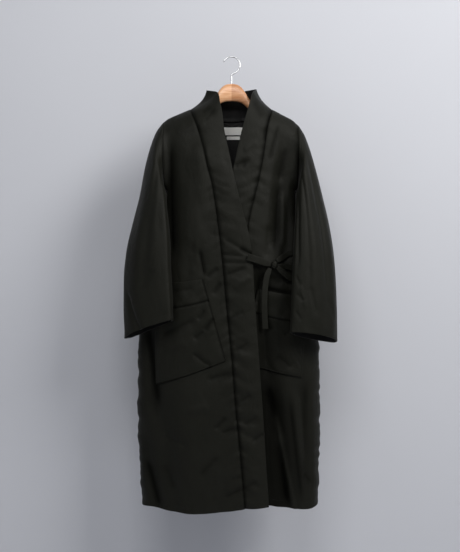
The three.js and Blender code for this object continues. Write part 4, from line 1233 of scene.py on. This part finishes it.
def add_neck_pieces():
    spec = NECK_LOOP
    share = np.linspace(0, 1, spec["points"])
    path = off_body(lerp(spec["left"], spec["right"], share),
                    spec["top"] - spec["sag"] * np.sin(np.pi * share), "back",
                    np.full(spec["points"], -WALL - LABEL_SEAT - spec["thick"] / 2))
    loop = surface("neck_loop_tape", (16, 40),
                   lambda a, v: place_strap(a, v, path, (0, 0, 1), spec["wide"], spec["thick"]),
                   (0.01, 0.05), [THREAD], wrapped=True)
    close_ends(loop)
    finish_piece(loop, "cloth", "neck_loop")
    for name, spec in LABELS.items():
        wide, high = (spec["right"] - spec["left"]) * MM, (spec["top"] - spec["bottom"]) * MM

        def place(s, t):
            wave = 0.25 * drift(s * 4, t * 3, LABEL_SEED)
            return off_body(lerp(spec["left"], spec["right"], s), lerp(spec["bottom"], spec["top"], t),
                            "back", -WALL - LABEL_SEAT - LABEL_THICK + wave)

        label = surface(name + "_tape", (40, 18), place, (wide, high), [LABEL_CLOTH],
                        Vector((0, 1, -0.2)))
        thicken(label, LABEL_THICK * 0.8, 0.15)
        finish_piece(label, "label", name)


def place_wood(a, v):
    """The hanger's wood: a round the section, v from the left tip to the right one."""
    left, right = WING_TIP["left"], WING_TIP["right"]
    x = lerp(left, right, v)
    out = np.abs(x - HANGER_X)
    tip = np.where(x < HANGER_X, HANGER_X - left, right - HANGER_X)
    share = np.clip((out - WING_START) / (tip - WING_START), 0, 1)
    wing_top = ridge_z(x) - WALL - HANGER_SEAT - WING_DROP * share ** 2
    on_wing = smoothstep(out, WING_BLEND, WING_START)
    top = lerp(between(HANGER, "out", "top", out), wing_top, on_wing)
    wing_low = wing_top - lerp(*WING_DEEP, share)
    low = lerp(between(HANGER, "out", "bottom", out), wing_low, on_wing)
    half = lerp(between(HANGER, "out", "half", out), lerp(*WING_HALF, share), on_wing)
    c, s = squared(2 * np.pi * a, WOOD_CORNER)
    end = np.clip(np.minimum(v, 1 - v) * (right - left) / WING_END, 0, 1)
    slim = 0.6 + 0.4 * np.sqrt(1 - (1 - end) ** 2)
    return points(x, half * c * slim, (top + low) / 2 + (top - low) / 2 * s * slim)


def add_hanger():
    wood = surface("hanger_beech", (48, 260), place_wood, (0.1, 0.42), [BEECH], wrapped=True)
    close_ends(wood)
    finish_piece(wood, "wood", "hanger_wood")
    arc = np.radians(np.linspace(*HOOK_ARC, 24))
    centre_z = HOOK_WIRE - HOOK_RADIUS
    path = [(HANGER_X + HOOK_RADIUS * math.cos(a), 0, centre_z + HOOK_RADIUS * math.sin(a)) for a in arc]
    path += [(HANGER_X, 0, z) for z in HOOK_STEM]

    def place(a, v):
        centre, way = along_path(path, v)
        side = np.broadcast_to(np.array((0.0, 1.0, 0.0)), centre.shape)
        out = np.cross(way, side)
        end = np.clip(v / HOOK_TIP, 0, 1)
        radius = HOOK_WIRE * np.sqrt(np.clip(1 - (1 - end) ** 2, 0.01, 1))
        angle = 2 * np.pi * a
        across = side * (radius * np.cos(angle))[..., None]
        return centre + across + out * (radius * np.sin(angle))[..., None]

    hook = surface("hanger_wire_hook", (20, 240), place, (0.0126, 0.2), [CHROME], wrapped=True)
    close_ends(hook)
    finish_piece(hook, "hook", "hanger_hook")


# Stitch lines as shares of a piece: of its length, or in from its ends
HEM_LINE = 0.016
BAND_HEM_LINE = 0.0147
CUFF_LINE = 0.965
POCKET_FOOT_LINE = 0.985


def add_stitches():
    """Thread along the hems, the cuffs and the pockets."""
    share = np.linspace(0, 1, 240)
    steady = np.ones_like(share)
    inset = 0.02 + share * 0.96
    hands = ("left", "right")
    hem = [place_front(share * 0.99, steady * HEM_LINE, hand) for hand in hands]
    hem.append(place_back(0.01 + share * 0.98, steady * HEM_LINE))
    hem += [place_band(0.03 + share * 0.95, steady * BAND_HEM_LINE, hand) for hand in hands]
    lines = {"coat_hem_stitches": hem}
    for hand in hands:
        lines[f"coat_cuff_stitches_{hand}"] = [place_sleeve(share, steady * CUFF_LINE, hand)]
        ways = ((inset, steady * POCKETS[hand]["hem"]), (steady * 0.02, inset),
                (steady * 0.98, inset), (inset, steady * POCKET_FOOT_LINE))
        lines[f"coat_pocket_stitches_{hand}"] = [place_pocket(s, t, hand) for s, t in ways]
    for name, paths in lines.items():
        finish_piece(join_stitches(name, paths, THREAD), "cloth")


# Stage and light, in metres
WALL_Y = 0.24
FLOOR_Z = -1.9
STAGE_SIZE = 9.0
LIGHTS = {
    "key": {"place": (1.95, -1.9, 1.1), "aim": (0, 0, -0.35), "size": (1.3, 1.5), "watts": 66,
            "colour": (1.0, 0.985, 0.95)},
    "fill": {"place": (-2.4, -2.6, -0.2), "aim": (0, 0, -0.7), "size": (2.4, 2.4), "watts": 7,
             "colour": (0.95, 0.97, 1.0)},
    "front": {"place": (-0.3, -2.3, 1.15), "aim": (0, 0, -0.05), "size": (1.5, 1.0), "watts": 30,
              "colour": (1.0, 0.99, 0.97)},
}


def add_plane(name, centre, upright, material):
    bm = bmesh.new()
    bmesh.ops.create_grid(bm, x_segments=1, y_segments=1, size=STAGE_SIZE / 2)
    if upright:
        bmesh.ops.rotate(bm, verts=bm.verts, cent=(0, 0, 0),
                         matrix=Vector((0, -1, 0)).to_track_quat("Z", "Y").to_matrix())
    bmesh.ops.translate(bm, verts=bm.verts, vec=centre)
    mesh_object(name, bm, [material])


def add_light(name, place, aim, size, watts, colour):
    data = bpy.data.lights.new(name, "AREA")
    data.shape = "RECTANGLE"
    data.size, data.size_y = size
    data.energy = watts
    data.color = colour
    lamp = bpy.data.objects.new(name, data)
    lamp.location = place
    lamp.rotation_euler = (Vector(aim) - Vector(place)).to_track_quat("-Z", "Y").to_euler()
    bpy.context.scene.collection.objects.link(lamp)


def add_stage():
    wall = backdrop_material("wall_paint", (0.64, 0.655, 0.71, 1), True)
    floor = backdrop_material("floor_paint", (0.66, 0.67, 0.70, 1), False)
    add_plane("stage_wall", (0, WALL_Y, 1.0), True, wall)
    add_plane("stage_floor", (0, -2.0, FLOOR_Z), False, floor)
    for name, spec in LIGHTS.items():
        add_light(name, **spec)
    world = bpy.data.worlds.new("studio")
    world.use_nodes = True
    sky = world.node_tree.nodes["Background"].inputs
    sky[0].default_value = (0.93, 0.95, 1.0, 1)
    sky[1].default_value = 0.14
    bpy.context.scene.world = world
    bpy.context.scene.view_settings.view_transform = "Standard"


add_camera()
add_body()
add_ties()
add_knot()
add_neck_pieces()
add_hanger()
add_stitches()
add_stage()
